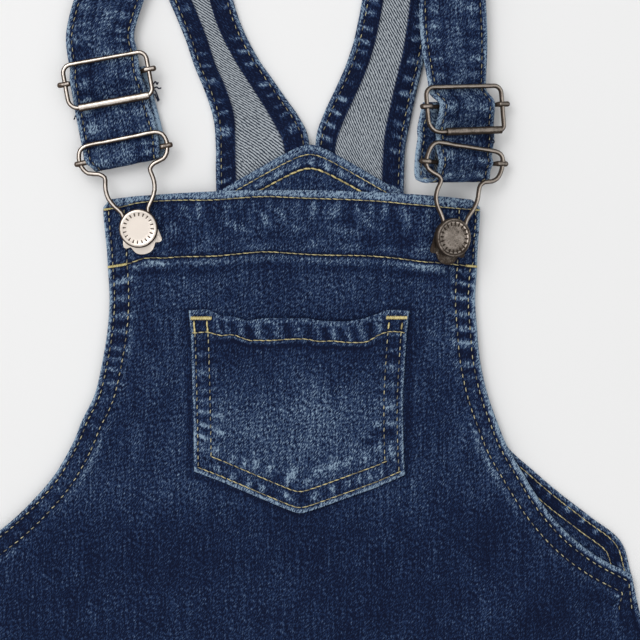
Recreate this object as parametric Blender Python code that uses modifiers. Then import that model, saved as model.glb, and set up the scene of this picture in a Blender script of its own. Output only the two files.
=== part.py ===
# Child's denim pinafore dress, laid flat on its back with its straps folded forward at the shoulders.
# X is across, +Y runs towards the shoulders and +Z is up, out of the front. Tables are in millimetres.

from collections import namedtuple
from math import cos, pi, radians, sin, sqrt

import bmesh
import bpy
import numpy as np
from mathutils import Matrix, Vector

MM = 0.001

# Driving sizes
BIB_TOP = 109.0
HEM_WIDTH = 390.0
HEM_SIDE_DEPTH = 347.0
CLOTH = 1.2
GAP = 0.3
HEM_RAISE = 0.5
ARMHOLE_HEM = 9.0
HEM_STEP = 1.2
STRAP_CORE = 1.3
STRAP_EDGE = 2.0
STRAP_WIDTH = 30.0
STRAP_HEM = 8.5
SHOULDER_TOP = 244.8
FOLD_RADIUS = 3.0
WIRE = 1.7
BAR = 1.8
ROLLER = 2.7
BUTTON = 17.2

# Heights of the layers above the floor, each clear of the one below by the seam gap
BACK_TOP = CLOTH
STRAP_END_FLOOR = BACK_TOP + GAP
FACING_FLOOR = STRAP_END_FLOOR + STRAP_EDGE + GAP
FRONT_FLOOR = BACK_TOP + GAP
FRONT_LIFT = FACING_FLOOR + CLOTH + GAP - FRONT_FLOOR
FACING_STEP = (4.0, 15.0)

# One row for each section of a panel: its two ends, the sag of the row between them, and the
# mesh rows from this section to the next. Depth is measured down from the bib's top edge.
Section = namedtuple("Section", "left_x left_depth right_x right_depth sag steps")

FRONT_ARMHOLE = (
    Section(-82.9, 2.4, 83.4, 2.6, -3.9, 3),
    Section(-81.7, 31.5, 83.0, 31.5, -6.0, 1),
    Section(-81.6, 33.0, 83.0, 33.0, -5.8, 1),
    Section(-80.9, 47.0, 82.2, 47.0, -3.0, 1),
    Section(-81.7, 60.0, 83.0, 60.0, -1.5, 1),
    Section(-83.9, 74.0, 84.3, 74.0, -0.6, 1),
    Section(-87.6, 89.5, 88.0, 89.5, 0.0, 1),
    Section(-93.0, 100.5, 92.1, 100.6, 0.0, 1),
    Section(-96.6, 109.5, 97.1, 110.9, 0.0, 1),
    Section(-104.7, 124.0, 105.4, 124.2, 0.0, 1),
    Section(-115.5, 136.8, 114.4, 138.4, 0.0, 1),
    Section(-127.0, 147.5, 125.4, 151.4, 0.0, 1),
    Section(-139.0, 156.0, 138.0, 161.4, 0.0, 1),
    Section(-152.0, 162.5, 152.0, 169.5, 0.0, 1),
)
BACK_ARMHOLE = (
    Section(-33.5, -1.2, 50.5, -0.8, -21.6, 1),
    Section(-35.5, 12.0, 52.5, 12.0, -16.0, 1),
    Section(-39.0, 30.0, 56.0, 30.0, -8.0, 1),
    Section(-49.0, 60.0, 66.0, 60.0, -2.0, 1),
    Section(-62.0, 85.0, 79.0, 85.0, 0.0, 1),
    Section(-78.0, 107.0, 96.1, 111.8, 0.0, 1),
    Section(-90.0, 122.0, 108.5, 123.4, 0.0, 1),
    Section(-103.0, 136.0, 120.5, 133.6, 0.0, 1),
    Section(-121.0, 148.5, 132.5, 143.1, 0.0, 1),
    Section(-139.0, 157.5, 143.5, 152.5, 0.0, 1),
    Section(-152.0, 162.5, 152.0, 169.5, 0.0, 1),
)
SIDE_SEAM = (
    Section(-155.2, 178.0, 155.0, 184.0, 0.0, 2),
    Section(-164.0, 216.0, 164.0, 218.0, 1.0, 2),
    Section(-177.5, 275.0, 177.5, 275.0, 4.0, 1),
    Section(-188.8, 321.0, 188.8, 321.0, 7.0, 1),
    Section(-189.2, 322.5, 189.2, 322.5, 7.2, 1),
    Section(-HEM_WIDTH / 2, HEM_SIDE_DEPTH, HEM_WIDTH / 2, HEM_SIDE_DEPTH, 8.0, 1),
)
FACING_SECTIONS = (
    Section(-33.2, -1.0, 50.2, -0.6, -21.6, 2),
    Section(-34.0, 5.0, 51.0, 5.0, -13.0, 2),
    Section(-35.5, 17.0, 52.5, 17.0, -7.0, 1),
)
POCKET_SECTIONS = (
    Section(-45.5, 51.3, 52.7, 52.1, 3.2, 2),
    Section(-44.5, 61.8, 51.6, 62.0, 3.4, 1),
    Section(-44.4, 63.0, 51.5, 63.2, 3.3, 2),
    Section(-43.6, 91.0, 49.9, 91.0, 3.0, 2),
    Section(-43.2, 110.0, 50.1, 111.0, 10.0, 2),
    Section(-43.0, 123.2, 50.8, 124.7, 17.6, 1),
)
POCKET_MOUTH_FOOT = 62.6
POCKET_POINT_FROM = 95.0
POCKET_GAPE = 1.0
GAPE_FOOT = (52.0, 66.0)

# How sharply a row's sag comes to a point: small for a V, large for a plain bow
BOW = 1.5
VEE = 0.14

# The strap's back part, from its end under the facing up to the shoulder: both edges and its floor
BackStrap = namedtuple("BackStrap", "outer_x outer_depth inner_x inner_depth floor")
LEFT_BACK_STRAP = (
    BackStrap(-33.2, 2.2, 8.4, -10.0, STRAP_END_FLOOR),
    BackStrap(-33.5, -11.2, 7.6, -26.2, STRAP_END_FLOOR),
    BackStrap(-33.5, -20.1, 2.2, -35.3, 0.3),
    BackStrap(-34.4, -32.6, -3.1, -41.6, 0.0),
    BackStrap(-38.4, -46.0, -10.3, -51.9, 0.0),
    BackStrap(-42.9, -56.8, -16.1, -60.3, 0.0),
    BackStrap(-47.8, -71.1, -22.3, -76.0, 0.0),
    BackStrap(-60.5, -99.0, -33.0, -109.0, 0.0),
)
RIGHT_BACK_STRAP = (
    BackStrap(50.3, 2.2, 10.8, -10.0, STRAP_END_FLOOR),
    BackStrap(50.5, -10.3, 11.3, -26.2, STRAP_END_FLOOR),
    BackStrap(51.0, -20.1, 14.3, -35.3, 0.3),
    BackStrap(53.6, -34.4, 19.2, -46.0, 0.0),
    BackStrap(56.3, -46.9, 23.7, -55.9, 0.0),
    BackStrap(59.5, -60.3, 27.7, -67.5, 0.0),
    BackStrap(61.7, -73.8, 30.4, -79.5, 0.0),
    BackStrap(66.5, -104.0, 37.0, -111.0, 0.0),
)

# The strap's front part above its slider: centre, turn of its cross line, roll and height of its face
FrontStrap = namedtuple("FrontStrap", "x depth turn roll face width")
LEFT_FRONT_STRAP = (
    FrontStrap(-71.0, -112.0, -9.0, 0.0, 5.8, 30.0),
    FrontStrap(-80.5, -88.0, -9.0, 0.0, 5.0, 30.2),
    FrontStrap(-84.9, -71.0, 0.0, 0.0, 4.8, 30.4),
)
RIGHT_FRONT_STRAP = (
    FrontStrap(69.0, -112.0, -2.0, 0.0, 5.9, 30.0),
    FrontStrap(71.5, -90.0, 0.0, 0.0, 6.0, 29.8),
    FrontStrap(72.4, -72.4, 0.0, 3.0, 6.6, 30.0),
)
SHOULDER_X = 65.5
SHOULDER_LEAN = 6.0

# Where each slider and hook sits: its own plane, turned and rolled with the strap that it holds
Seat = namedtuple("Seat", "x depth height turn roll")
SLIDER_SEATS = {
    "left": Seat(-81.6, -51.9, 6.5, 10.3, 0.0),
    "right": Seat(76.8, -38.6, 12.5, 4.7, 24.0),
}
HOOK_SEATS = {
    "left": Seat(-74.1, -17.4, 6.8, 11.3, 0.0),
    "right": Seat(76.2, -13.4, 12.5, -8.0, 25.0),
}

# How far a hook's loose bar turns from its wire, how far the strap's fold turns, and how far the fold
# hangs below the bar
Loop = namedtuple("Loop", "bar_turn fold_turn reach")
LOOPS = {"left": Loop(0.5, 0.5, 4.8), "right": Loop(8.5, 11.0, 8.4)}

# How far sideways the strap lies in its hardware and half its width there: under the slider's top
# rail, over its bar, under its roller, under the hook's rail, over its bar, in the fold and in the
# tail that comes back up behind
Hold = namedtuple("Hold", "slip half")
HOLDS = {
    "left": (Hold(-0.3, 15.5), Hold(-0.7, 15.8), Hold(-0.3, 16.6), Hold(-0.5, 17.2), Hold(-0.5, 16.8),
             Hold(0.9, 15.2), Hold(3.0, 15.8)),
    "right": (Hold(-1.8, 14.4), Hold(0.9, 13.8), Hold(0.4, 14.6), Hold(0.5, 14.3), Hold(1.0, 13.6),
              Hold(-3.2, 15.0), Hold(-7.0, 15.0)),
}

# How far the strap's face rises over the hook's bar, and how far below the bar a long fold starts
OVER_BAR_RISE = 0.3
LONG_FOLD = 6.0
FOLD_START = 4.3
FOLD_START_DROP = 0.35
FOLD_DROP = 0.75

# Where the strap's sections stand about each rail and bar
PAST_RAIL = 2.0
BEFORE_RAIL = 1.5
BESIDE_BAR = 1.8

# Slide adjuster, from its centre bar
SLIDER_HALF = 18.8
SLIDER_TOP = 8.3
SLIDER_FOOT = -11.4
SLIDER_CORNER = 3.6
ROLLER_HALF = 14.6
BAR_HALF = 22.2
BAR_DROP = (WIRE + BAR) / 2 + GAP

# Dungaree hook, from its loose bar: one half of the bent wire, top to bottom. The right hook is bent
# a little out of true
HOOK_TOP = 7.1
HOOK_ROUTE = (
    (0.0, HOOK_TOP), (8.0, HOOK_TOP), (15.5, HOOK_TOP), (18.6, 5.6), (19.8, 2.2), (19.6, -0.5), (18.8, -3.0),
    (17.0, -5.1), (12.4, -6.4), (10.2, -8.4), (10.5, -11.0), (10.9, -14.0), (10.4, -18.0),
    (8.4, -21.9), (6.0, -25.2), (5.4, -29.0), (5.3, -33.0),
)
BENT_ROUTE_LEFT = (
    (0.0, HOOK_TOP), (6.0, 6.8), (14.2, 6.6), (16.6, 4.9), (17.9, 1.9), (18.4, -0.9), (18.4, -3.2),
    (17.2, -5.4), (14.2, -6.8), (11.6, -7.6), (9.9, -9.2), (10.4, -11.6), (11.2, -14.5), (11.2, -17.5),
    (10.0, -20.7), (7.9, -23.7), (6.1, -26.6), (5.4, -29.6), (5.3, -33.0),
)
BENT_ROUTE_RIGHT = (
    (0.0, HOOK_TOP), (8.0, 7.3), (15.0, 7.5), (17.9, 6.7), (19.2, 5.0), (19.6, 1.9), (19.2, -1.4),
    (17.9, -4.2), (15.4, -5.9), (11.8, -6.8), (9.9, -8.5), (9.5, -11.3), (9.6, -13.8), (9.2, -16.5),
    (7.9, -20.0), (6.0, -23.4), (5.2, -26.2), (5.1, -29.6), (5.3, -33.0),
)
HOOK_HALVES = {"left": (HOOK_ROUTE, HOOK_ROUTE), "right": (BENT_ROUTE_LEFT, BENT_ROUTE_RIGHT)}

# Tack button and the keyhole plate behind it, from the button's centre
BUTTON_DROP = 33.0
BUTTON_FLOOR = 1.2
POST = 6.0
POST_REACH = {"left": -2.1, "right": -3.6}
PLATE_TOP = -WIRE / 2 - GAP
PLATE = 0.7
KEYHOLE = 3.5
PLATE_OUTLINE = (
    (0.0, 7.2), (4.6, 6.2), (7.2, 2.6), (7.7, -1.4), (8.5, -4.2), (8.8, -6.6), (8.0, -7.6),
    (6.2, -7.7), (5.2, -8.8), (4.2, -10.6), (2.4, -11.8), (0.0, -12.1),
)

# Soft relief of the laid cloth: a bump or trough by centre, half lengths, turn and height
Crease = namedtuple("Crease", "x depth long wide turn height")
FRONT_CREASES = (
    Crease(-8.0, 172.0, 26.0, 7.0, 16.0, -0.9),
    Crease(-78.0, 177.0, 30.0, 7.0, -6.0, -0.8),
    Crease(60.0, 166.0, 40.0, 9.0, -8.0, -0.6),
    Crease(112.0, 178.0, 34.0, 8.0, 28.0, 1.4),
    Crease(-116.0, 172.0, 30.0, 8.0, -30.0, 1.2),
    Crease(20.0, 190.0, 60.0, 12.0, 4.0, 1.0),
)
CREASE_REST = 1.0
SKIRT_WAVE = 1.6
SKIRT_WAVES = 5

# Where the front rises off the back: over the facing, and at a corner that its hook pulls up
FACING_CENTRE = 8.5
FACING_HALF = 44.0
FACING_SLOPE = 34.0
SIDE_LIFT = 0.25
LIFT_FOOT = (8.0, 48.0)
PULLED_CORNER = (62.0, 14.0)
PULLED_REACH = 30.0
PULLED_LIFT = 3.0
SEAM_HALF_WIDTH = 150.0
SIDE_SEAM_TOP = 165.0
FLAT_ARMHOLE = 40.0
CREASES_FROM = (30.0, 75.0)
WAVES_FROM = (200.0, 330.0)
BAND_FOOT = (24.0, 26.5)


def blend(low, high, at):
    """Eases from 0 to 1 as at goes from low to high."""
    share = min(max((at - low) / (high - low), 0.0), 1.0)
    return share * share * (3.0 - 2.0 * share)


def smooth_points(points, steps):
    """Reads a smooth curve through points, with the given number of steps after each of them."""
    points = [np.array(point, dtype=float) for point in points]
    ends = [2 * points[0] - points[1]] + points + [2 * points[-1] - points[-2]]
    path = []
    for index in range(len(points) - 1):
        before, start, end, after = ends[index:index + 4]
        spans = [max(sqrt(np.linalg.norm(b - a)), 1e-6) for a, b in
                 ((before, start), (start, end), (end, after))]
        leave = (start - before) / spans[0] - (end - before) / (spans[0] + spans[1])
        leave = (leave + (end - start) / spans[1]) * spans[1]
        arrive = (end - start) / spans[1] - (after - start) / (spans[1] + spans[2])
        arrive = (arrive + (after - end) / spans[2]) * spans[1]
        for step in range(steps[index]):
            t = step / steps[index]
            path.append((2 * t**3 - 3 * t**2 + 1) * start + (t**3 - 2 * t**2 + t) * leave
                        + (3 * t**2 - 2 * t**3) * end + (t**3 - t**2) * arrive)
    path.append(points[-1])
    return path


def smooth_sections(sections):
    """Adds the mesh rows between a panel's sections."""
    return smooth_points([section[:5] for section in sections],
                         [section.steps for section in sections])


def row_sag(across, sharpness):
    """Gives the share of a row's sag, 1 in the middle and 0 at its ends."""
    rise = sqrt(across**2 + sharpness**2) - sharpness
    return 1.0 - rise / (sqrt(1.0 + sharpness**2) - sharpness)


def place(x, depth, z):
    """Turns a width, a depth below the bib's top and a height into a point in metres."""
    return Vector((x, BIB_TOP - depth, z)) * MM


def crease_height(x, depth):
    """Adds up the soft relief of the front at one point."""
    height = 0.0
    for crease in FRONT_CREASES:
        turn = radians(crease.turn)
        along = (x - crease.x) * cos(turn) - (depth - crease.depth) * sin(turn)
        across = (x - crease.x) * sin(turn) + (depth - crease.depth) * cos(turn)
        reach = (along / crease.long)**2 + (across / crease.wide)**2
        height += crease.height * max(0.0, 1.0 - reach / 4.0)**2
    waves = 0.5 - 0.5 * cos(2 * pi * SKIRT_WAVES * (x / HEM_WIDTH + 0.5))
    return height + SKIRT_WAVE * waves * blend(*WAVES_FROM, depth) + CREASE_REST


def front_floor(x, depth):
    """Gives the height of the front panel's underside."""
    beside = max(abs(x - FACING_CENTRE) - FACING_HALF, 0.0)
    over_facing = FRONT_LIFT * (1.0 - (1.0 - SIDE_LIFT) * blend(0.0, FACING_SLOPE, beside))
    over_facing *= 1.0 - blend(*LIFT_FOOT, depth)
    half_width = SEAM_HALF_WIDTH + 0.2 * max(depth - SIDE_SEAM_TOP, 0.0)
    inside_seam = blend(0.0, FLAT_ARMHOLE, half_width - abs(x))
    from_corner = ((x - PULLED_CORNER[0])**2 + (depth - PULLED_CORNER[1])**2) / PULLED_REACH**2
    pulled = PULLED_LIFT * max(0.0, 1.0 - from_corner)**2
    creases = crease_height(x, depth) * inside_seam * blend(*CREASES_FROM, depth)
    return FRONT_FLOOR + over_facing + pulled + creases


def front_top(x, depth):
    """Gives the height of the front panel's face, with the raised band along the bib's top."""
    return front_floor(x, depth) + CLOTH + HEM_RAISE * (1.0 - blend(*BAND_FOOT, depth))


def wall(name, top, floor, material, collection):
    """Builds a closed cloth wall between two grids of points with the same rows."""
    mesh = bmesh.new()
    upper = [[mesh.verts.new(point) for point in row] for row in top]
    lower = [[mesh.verts.new(point) for point in row] for row in floor]
    last_row = len(top) - 1
    last_column = len(top[0]) - 1
    for i in range(last_row):
        for j in range(last_column):
            mesh.faces.new((upper[i][j], upper[i + 1][j], upper[i + 1][j + 1], upper[i][j + 1]))
            mesh.faces.new((lower[i][j], lower[i][j + 1], lower[i + 1][j + 1], lower[i + 1][j]))
        mesh.faces.new((upper[i][0], lower[i][0], lower[i + 1][0], upper[i + 1][0]))
        mesh.faces.new((upper[i][-1], upper[i + 1][-1], lower[i + 1][-1], lower[i][-1]))
    for j in range(last_column):
        mesh.faces.new((upper[0][j], upper[0][j + 1], lower[0][j + 1], lower[0][j]))
        mesh.faces.new((upper[last_row][j], lower[last_row][j], lower[last_row][j + 1], upper[last_row][j + 1]))
    bmesh.ops.recalc_face_normals(mesh, faces=mesh.faces)
    data = bpy.data.meshes.new(name)
    mesh.to_mesh(data)
    mesh.free()
    return add_piece(name, data, material, collection)


def add_piece(name, data, material, collection):
    """Adds an object with its material to the garment's collection."""
    piece = bpy.data.objects.new(name, data)
    data.materials.append(material)
    collection.objects.link(piece)
    return piece


def edge_normals(points, side):
    """Gives the direction into the cloth at each point of a panel's side."""
    normals = []
    for index in range(len(points)):
        along = points[min(index + 1, len(points) - 1)] - points[max(index - 1, 0)]
        along = along / np.linalg.norm(along)
        normals.append(np.array((along[1], -along[0])) * -side)
    return normals


def panel_rows(armhole, seam, sharpness, columns):
    """Lays out a panel: rows that start with the armhole hem's width, measured square to the edge."""
    rows = smooth_sections(armhole)
    hemmed = len(rows)
    if seam:
        rows = rows + smooth_sections(seam)
    left = [np.array((row[0], row[1])) for row in rows]
    right = [np.array((row[2], row[3])) for row in rows]
    level = [np.array((1.0, 0.0))] * (len(rows) - hemmed)
    left_in = edge_normals(left[:hemmed], -1) + level
    right_in = edge_normals(right[:hemmed], 1) + [-step for step in level]
    hem_steps = (0.0, ARMHOLE_HEM, ARMHOLE_HEM + HEM_STEP)
    grid = []
    for index, row in enumerate(rows):
        starts = [left[index] + left_in[index] * step for step in hem_steps]
        ends = [right[index] + right_in[index] * step for step in hem_steps]
        points = []
        for column in range(columns + 1):
            share = column / columns
            points.append(starts[-1] * (1.0 - share) + ends[-1] * share)
        points = starts[:-1] + points + ends[-2::-1]
        middle = (left[index][0] + right[index][0]) / 2
        half = (right[index][0] - left[index][0]) / 2
        for point in points:
            point[1] += row[4] * max(row_sag((point[0] - middle) / half, sharpness), 0.0)
        grid.append(points)
    return grid


def build_front(denim, collection):
    """Builds the front: bib and skirt in one piece, with raised band, armhole hems and skirt hem."""
    grid = panel_rows(FRONT_ARMHOLE, SIDE_SEAM, BOW, 20)
    top, floor = [], []
    band_rows = FRONT_ARMHOLE[0].steps + FRONT_ARMHOLE[1].steps
    armhole_rows = sum(section.steps for section in FRONT_ARMHOLE[:-1]) + 1
    for index, row in enumerate(grid):
        in_band = index < band_rows
        in_hem = index >= len(grid) - 2
        top_row, floor_row = [], []
        for column, (x, depth) in enumerate(row):
            at_armhole = index < armhole_rows and min(column, len(row) - 1 - column) < 2
            raised = HEM_RAISE if in_band or in_hem or at_armhole else 0.0
            height = front_floor(x, depth)
            floor_row.append(place(x, depth, height))
            top_row.append(place(x, depth, height + CLOTH + raised))
        top.append(top_row)
        floor.append(floor_row)
    return wall("front_panel", top, floor, denim, collection)


def build_back(denim, collection):
    """Builds the back, which lies flat on the floor, with its bib rising to a blunt point."""
    grid = panel_rows(BACK_ARMHOLE, SIDE_SEAM, VEE, 16)
    floor = [[place(x, depth, 0.0) for x, depth in row] for row in grid]
    top = [[place(x, depth, BACK_TOP) for x, depth in row] for row in grid]
    return wall("back_panel", top, floor, denim, collection)


def build_facing(denim, collection):
    """Builds the facing inside the back bib, which holds the strap ends."""
    grid = panel_rows(FACING_SECTIONS, (), VEE, 12)
    top, floor = [], []
    for row in grid:
        heights = [FACING_FLOOR - (FACING_FLOOR - FRONT_FLOOR) * blend(*FACING_STEP, depth)
                   for x, depth in row]
        floor.append([place(x, depth, height) for (x, depth), height in zip(row, heights)])
        top.append([place(x, depth, height + CLOTH) for (x, depth), height in zip(row, heights)])
    return wall("back_facing", top, floor, denim, collection)


def build_pocket(denim, collection):
    """Builds the patch pocket from the front's own points, moved out, with a raised mouth band."""
    rows = smooth_sections(POCKET_SECTIONS)
    columns = 16
    top, floor = [], []
    for row in rows:
        top_row, floor_row = [], []
        for column in range(columns + 1):
            share = column / columns
            x = row[0] * (1.0 - share) + row[2] * share
            depth = row[1] * (1.0 - share) + row[3] * share
            sharpness = VEE if row[1] > POCKET_POINT_FROM else BOW
            depth += row[4] * row_sag(2.0 * share - 1.0, sharpness)
            gape = POCKET_GAPE * (1.0 - blend(*GAPE_FOOT, depth)) * row_sag(2.0 * share - 1.0, BOW)
            height = front_top(x, depth) + GAP + gape
            raised = HEM_RAISE if row[1] < POCKET_MOUTH_FOOT else 0.0
            floor_row.append(place(x, depth, height))
            top_row.append(place(x, depth, height + CLOTH + raised))
        top.append(top_row)
        floor.append(floor_row)
    return wall("pocket", top, floor, denim, collection)


def seat_matrix(seat):
    """Gives the frame of a slider or hook: X along its bar, Y up the strap, Z out of the cloth."""
    spot = Matrix.Translation(Vector((seat.x, BIB_TOP - seat.depth, seat.height)))
    return spot @ Matrix.Rotation(radians(seat.turn), 4, "Z") @ Matrix.Rotation(radians(seat.roll), 4, "Y")


def seated_section(seat, along, face, hold):
    """Gives one strap section square to a slider or hook: centre of its face, cross line, half width."""
    matrix = seat_matrix(seat)
    centre = matrix @ Vector((hold.slip, along, face))
    return np.array((*centre, *(matrix.to_3x3() @ Vector((1.0, 0.0, 0.0))), hold.half))


def strap_sections(side, back, front):
    """Lists a strap's sections from its sewn end, over the shoulder, to its end behind the slider."""
    mirror = 1.0 if side == "right" else -1.0
    sections = []
    for row in back:
        inner = Vector((row.inner_x, BIB_TOP - row.inner_depth, row.floor))
        outer = Vector((row.outer_x, BIB_TOP - row.outer_depth, row.floor))
        across = (outer - inner) * mirror
        sections.append(np.array((*((inner + outer) / 2), *across.normalized(), across.length / 2)))
    steps = [2] * len(sections)

    # Fold at the shoulder
    lean = radians(SHOULDER_LEAN) * mirror
    cross = Vector((cos(lean), -sin(lean), 0.0))
    for angle in (-90, -30, 30, 90):
        reach = FOLD_RADIUS * cos(radians(angle))
        rise = FOLD_RADIUS * (1.0 + sin(radians(angle)))
        centre = Vector((mirror * SHOULDER_X, SHOULDER_TOP - FOLD_RADIUS + reach, rise))
        sections.append(np.array((*centre, *cross, STRAP_WIDTH / 2)))
        steps.append(1)
    steps[-1] = 2

    # Front part down to the slider
    for row in front:
        turn, roll = radians(row.turn), radians(row.roll)
        cross = Vector((cos(turn) * cos(roll), sin(turn) * cos(roll), -sin(roll)))
        sections.append(np.array((row.x, BIB_TOP - row.depth, row.face, *cross, row.width / 2)))
        steps.append(2)

    # Under the slider's top rail, over its bar and under its roller
    slider, hook = SLIDER_SEATS[side], HOOK_SEATS[side]
    at_rail, at_bar, at_roller, at_hook_rail, at_hook_bar, fold, tail = HOLDS[side]
    below_wire = -WIRE / 2 - GAP
    below_roller = -ROLLER / 2 - GAP
    over_bar = -BAR_DROP + BAR / 2 + GAP + STRAP_EDGE
    under_bar = -BAR_DROP - BAR / 2 - GAP - STRAP_EDGE
    for along, face, hold in ((SLIDER_TOP + PAST_RAIL, below_wire, at_rail),
                              (SLIDER_TOP - BEFORE_RAIL, below_wire, at_rail),
                              (BESIDE_BAR, over_bar, at_bar), (-BESIDE_BAR, over_bar, at_bar),
                              (SLIDER_FOOT + PAST_RAIL, below_roller, at_roller),
                              (SLIDER_FOOT - PAST_RAIL, below_roller, at_roller)):
        sections.append(seated_section(slider, along, face, hold))
        steps.append(2)

    # Under the hook's top rail, over its loose bar and round the fold below it
    loop = LOOPS[side]
    bar_seat = hook._replace(turn=hook.turn + loop.bar_turn)
    fold_seat = hook._replace(turn=hook.turn + loop.fold_turn)
    sections.append(seated_section(hook, HOOK_TOP + BEFORE_RAIL, below_wire, at_hook_rail))
    sections.append(seated_section(hook, HOOK_TOP - BEFORE_RAIL, below_wire, at_hook_rail))
    sections.append(seated_section(bar_seat, 0.0, over_bar + OVER_BAR_RISE, at_hook_bar))
    steps += [2, 2, 2]
    long_loop = loop.reach > LONG_FOLD
    upper = below_wire if long_loop else over_bar
    lower = below_wire - 2 * STRAP_EDGE - GAP if long_loop else under_bar
    bend = (upper - lower) / 2
    straight = loop.reach - bend
    if long_loop:
        sections.append(seated_section(fold_seat, -FOLD_START, upper - FOLD_START_DROP, at_hook_bar))
        sections.append(seated_section(fold_seat, -straight, upper - FOLD_DROP, at_hook_bar))
        steps += [1, 1]
    half_slip = fold._replace(slip=fold.slip / 2)
    past_slip = fold._replace(slip=(fold.slip + tail.slip) / 2)
    for angle, hold in ((45, half_slip), (0, fold), (-45, past_slip)):
        along = -straight - bend * cos(radians(angle))
        face = lower + bend * (1.0 + sin(radians(angle)))
        sections.append(seated_section(fold_seat, along, face, hold))
        steps.append(1)

    # Back up behind itself to the slider's bar
    if long_loop:
        sections.append(seated_section(fold_seat, -straight, lower, tail))
        steps.append(1)
    behind = below_roller - 2 * STRAP_EDGE - GAP
    sections.append(seated_section(bar_seat, 1.0, under_bar, tail))
    sections.append(seated_section(hook, HOOK_TOP + 1.0, under_bar, tail))
    sections.append(seated_section(slider, SLIDER_FOOT - 1.0, behind, tail))
    sections.append(seated_section(slider, SLIDER_FOOT + 2.0, behind, tail))
    sections.append(seated_section(slider, 2.5, under_bar, tail._replace(slip=tail.slip / 2)))
    steps += [2, 2, 1, 2, 1]
    return smooth_points(sections, steps)


def build_strap(side, back, front, denim, collection):
    """Builds one strap as a single wall, thicker along both edges where its hems are turned in."""
    sections = strap_sections(side, back, front)
    centres = [Vector((section[0], section[1], max(section[2], 0.0))) for section in sections]
    face, inside = [], []
    for index, section in enumerate(sections):
        along = centres[min(index + 1, len(centres) - 1)] - centres[max(index - 1, 0)]
        across = Vector(section[3:6]).normalized()
        inward = across.cross(along).normalized()
        half = section[6]
        places = ((-half, STRAP_EDGE), (-half + STRAP_HEM, STRAP_EDGE), (-half + STRAP_HEM + 1.0, STRAP_CORE),
                  (half - STRAP_HEM - 1.0, STRAP_CORE), (half - STRAP_HEM, STRAP_EDGE), (half, STRAP_EDGE))
        face.append([(centres[index] + across * place) * MM for place, thick in places])
        inside.append([(centres[index] + across * place + inward * thick) * MM for place, thick in places])
    return wall("strap_" + side, face, inside, denim, collection)


def wire_piece(name, points, diameter, closed, material, collection, seat):
    """Bends a round wire through points given in its seat's own frame."""
    data = bpy.data.curves.new(name, "CURVE")
    data.dimensions = "3D"
    data.bevel_depth = diameter / 2 * MM
    data.bevel_resolution = 2
    data.use_fill_caps = not closed
    spline = data.splines.new("POLY")
    spline.points.add(len(points) - 1)
    for place, point in zip(spline.points, points):
        place.co = (point[0] * MM, point[1] * MM, point[2] * MM, 1.0)
    spline.use_cyclic_u = closed
    piece = add_piece(name, data, material, collection)
    piece.matrix_world = metre_matrix(seat)
    return piece


def metre_matrix(seat):
    """Gives a seat's frame with its place in metres."""
    matrix = seat_matrix(seat)
    matrix.translation = matrix.translation * MM
    return matrix


def slider_outline():
    """Walks round the slide adjuster's rounded rectangle."""
    points = []
    corners = ((SLIDER_HALF, SLIDER_FOOT, -90), (SLIDER_HALF, SLIDER_TOP, 0),
               (-SLIDER_HALF, SLIDER_TOP, 90), (-SLIDER_HALF, SLIDER_FOOT, 180))
    for x, y, first in corners:
        centre_x = x - np.sign(x) * SLIDER_CORNER
        centre_y = y - np.sign(y) * SLIDER_CORNER
        for turn in range(0, 91, 18):
            angle = radians(first + turn)
            points.append((centre_x + SLIDER_CORNER * cos(angle), centre_y + SLIDER_CORNER * sin(angle), 0.0))
    return points


def turned_piece(name, profile, steps, material, collection):
    """Turns a profile, listed from the top of its outer side down, round the Z axis."""
    data = bpy.data.meshes.new(name)
    edges = [(index, index + 1) for index in range(len(profile) - 1)]
    data.from_pydata([(radius * MM, 0.0, height * MM) for radius, height in profile], edges, [])
    piece = add_piece(name, data, material, collection)
    screw = piece.modifiers.new("turn", "SCREW")
    screw.steps = steps
    screw.render_steps = steps
    screw.use_merge_vertices = True
    screw.merge_threshold = 0.00001
    return piece


def build_slider(side, metal, collection):
    """Builds a slide adjuster: bent frame, centre bar and the roller on its lower rail."""
    seat = SLIDER_SEATS[side]
    wire_piece("slider_frame_" + side, slider_outline(), WIRE, True, metal, collection, seat)
    ends = ((-BAR_HALF, 0.0, -BAR_DROP), (BAR_HALF, 0.0, -BAR_DROP))
    wire_piece("slider_bar_" + side, ends, BAR, False, metal, collection, seat)
    outer, bore = ROLLER / 2, WIRE / 2 + 0.2
    profile = ((outer, ROLLER_HALF), (outer, -ROLLER_HALF), (bore, -ROLLER_HALF), (bore, ROLLER_HALF),
               (outer, ROLLER_HALF))
    roller = turned_piece("slider_roller_" + side, profile, 12, metal, collection)
    place_roller = Matrix.Translation(Vector((0.0, SLIDER_FOOT * MM, 0.0))) @ Matrix.Rotation(pi / 2, 4, "Y")
    roller.matrix_world = metre_matrix(seat) @ place_roller


def build_hook(side, metal, collection):
    """Builds a dungaree hook: bent wire, loose bar and keyhole plate."""
    seat = HOOK_SEATS[side]
    left, right = [smooth_points(half, [1] + [2] * (len(half) - 2) + [1]) for half in HOOK_HALVES[side]]
    route = [(-x, y, 0.0) for x, y in left[:0:-1]] + [(x, y, 0.0) for x, y in right]
    wire_piece("hook_wire_" + side, route, WIRE, False, metal, collection, seat)
    ends = ((-BAR_HALF, 0.0, -BAR_DROP), (BAR_HALF, 0.0, -BAR_DROP))
    bar_seat = seat._replace(turn=seat.turn + LOOPS[side].bar_turn)
    wire_piece("hook_bar_" + side, ends, BAR, False, metal, collection, bar_seat)
    build_plate("hook_plate_" + side, seat, metal, collection)


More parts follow.
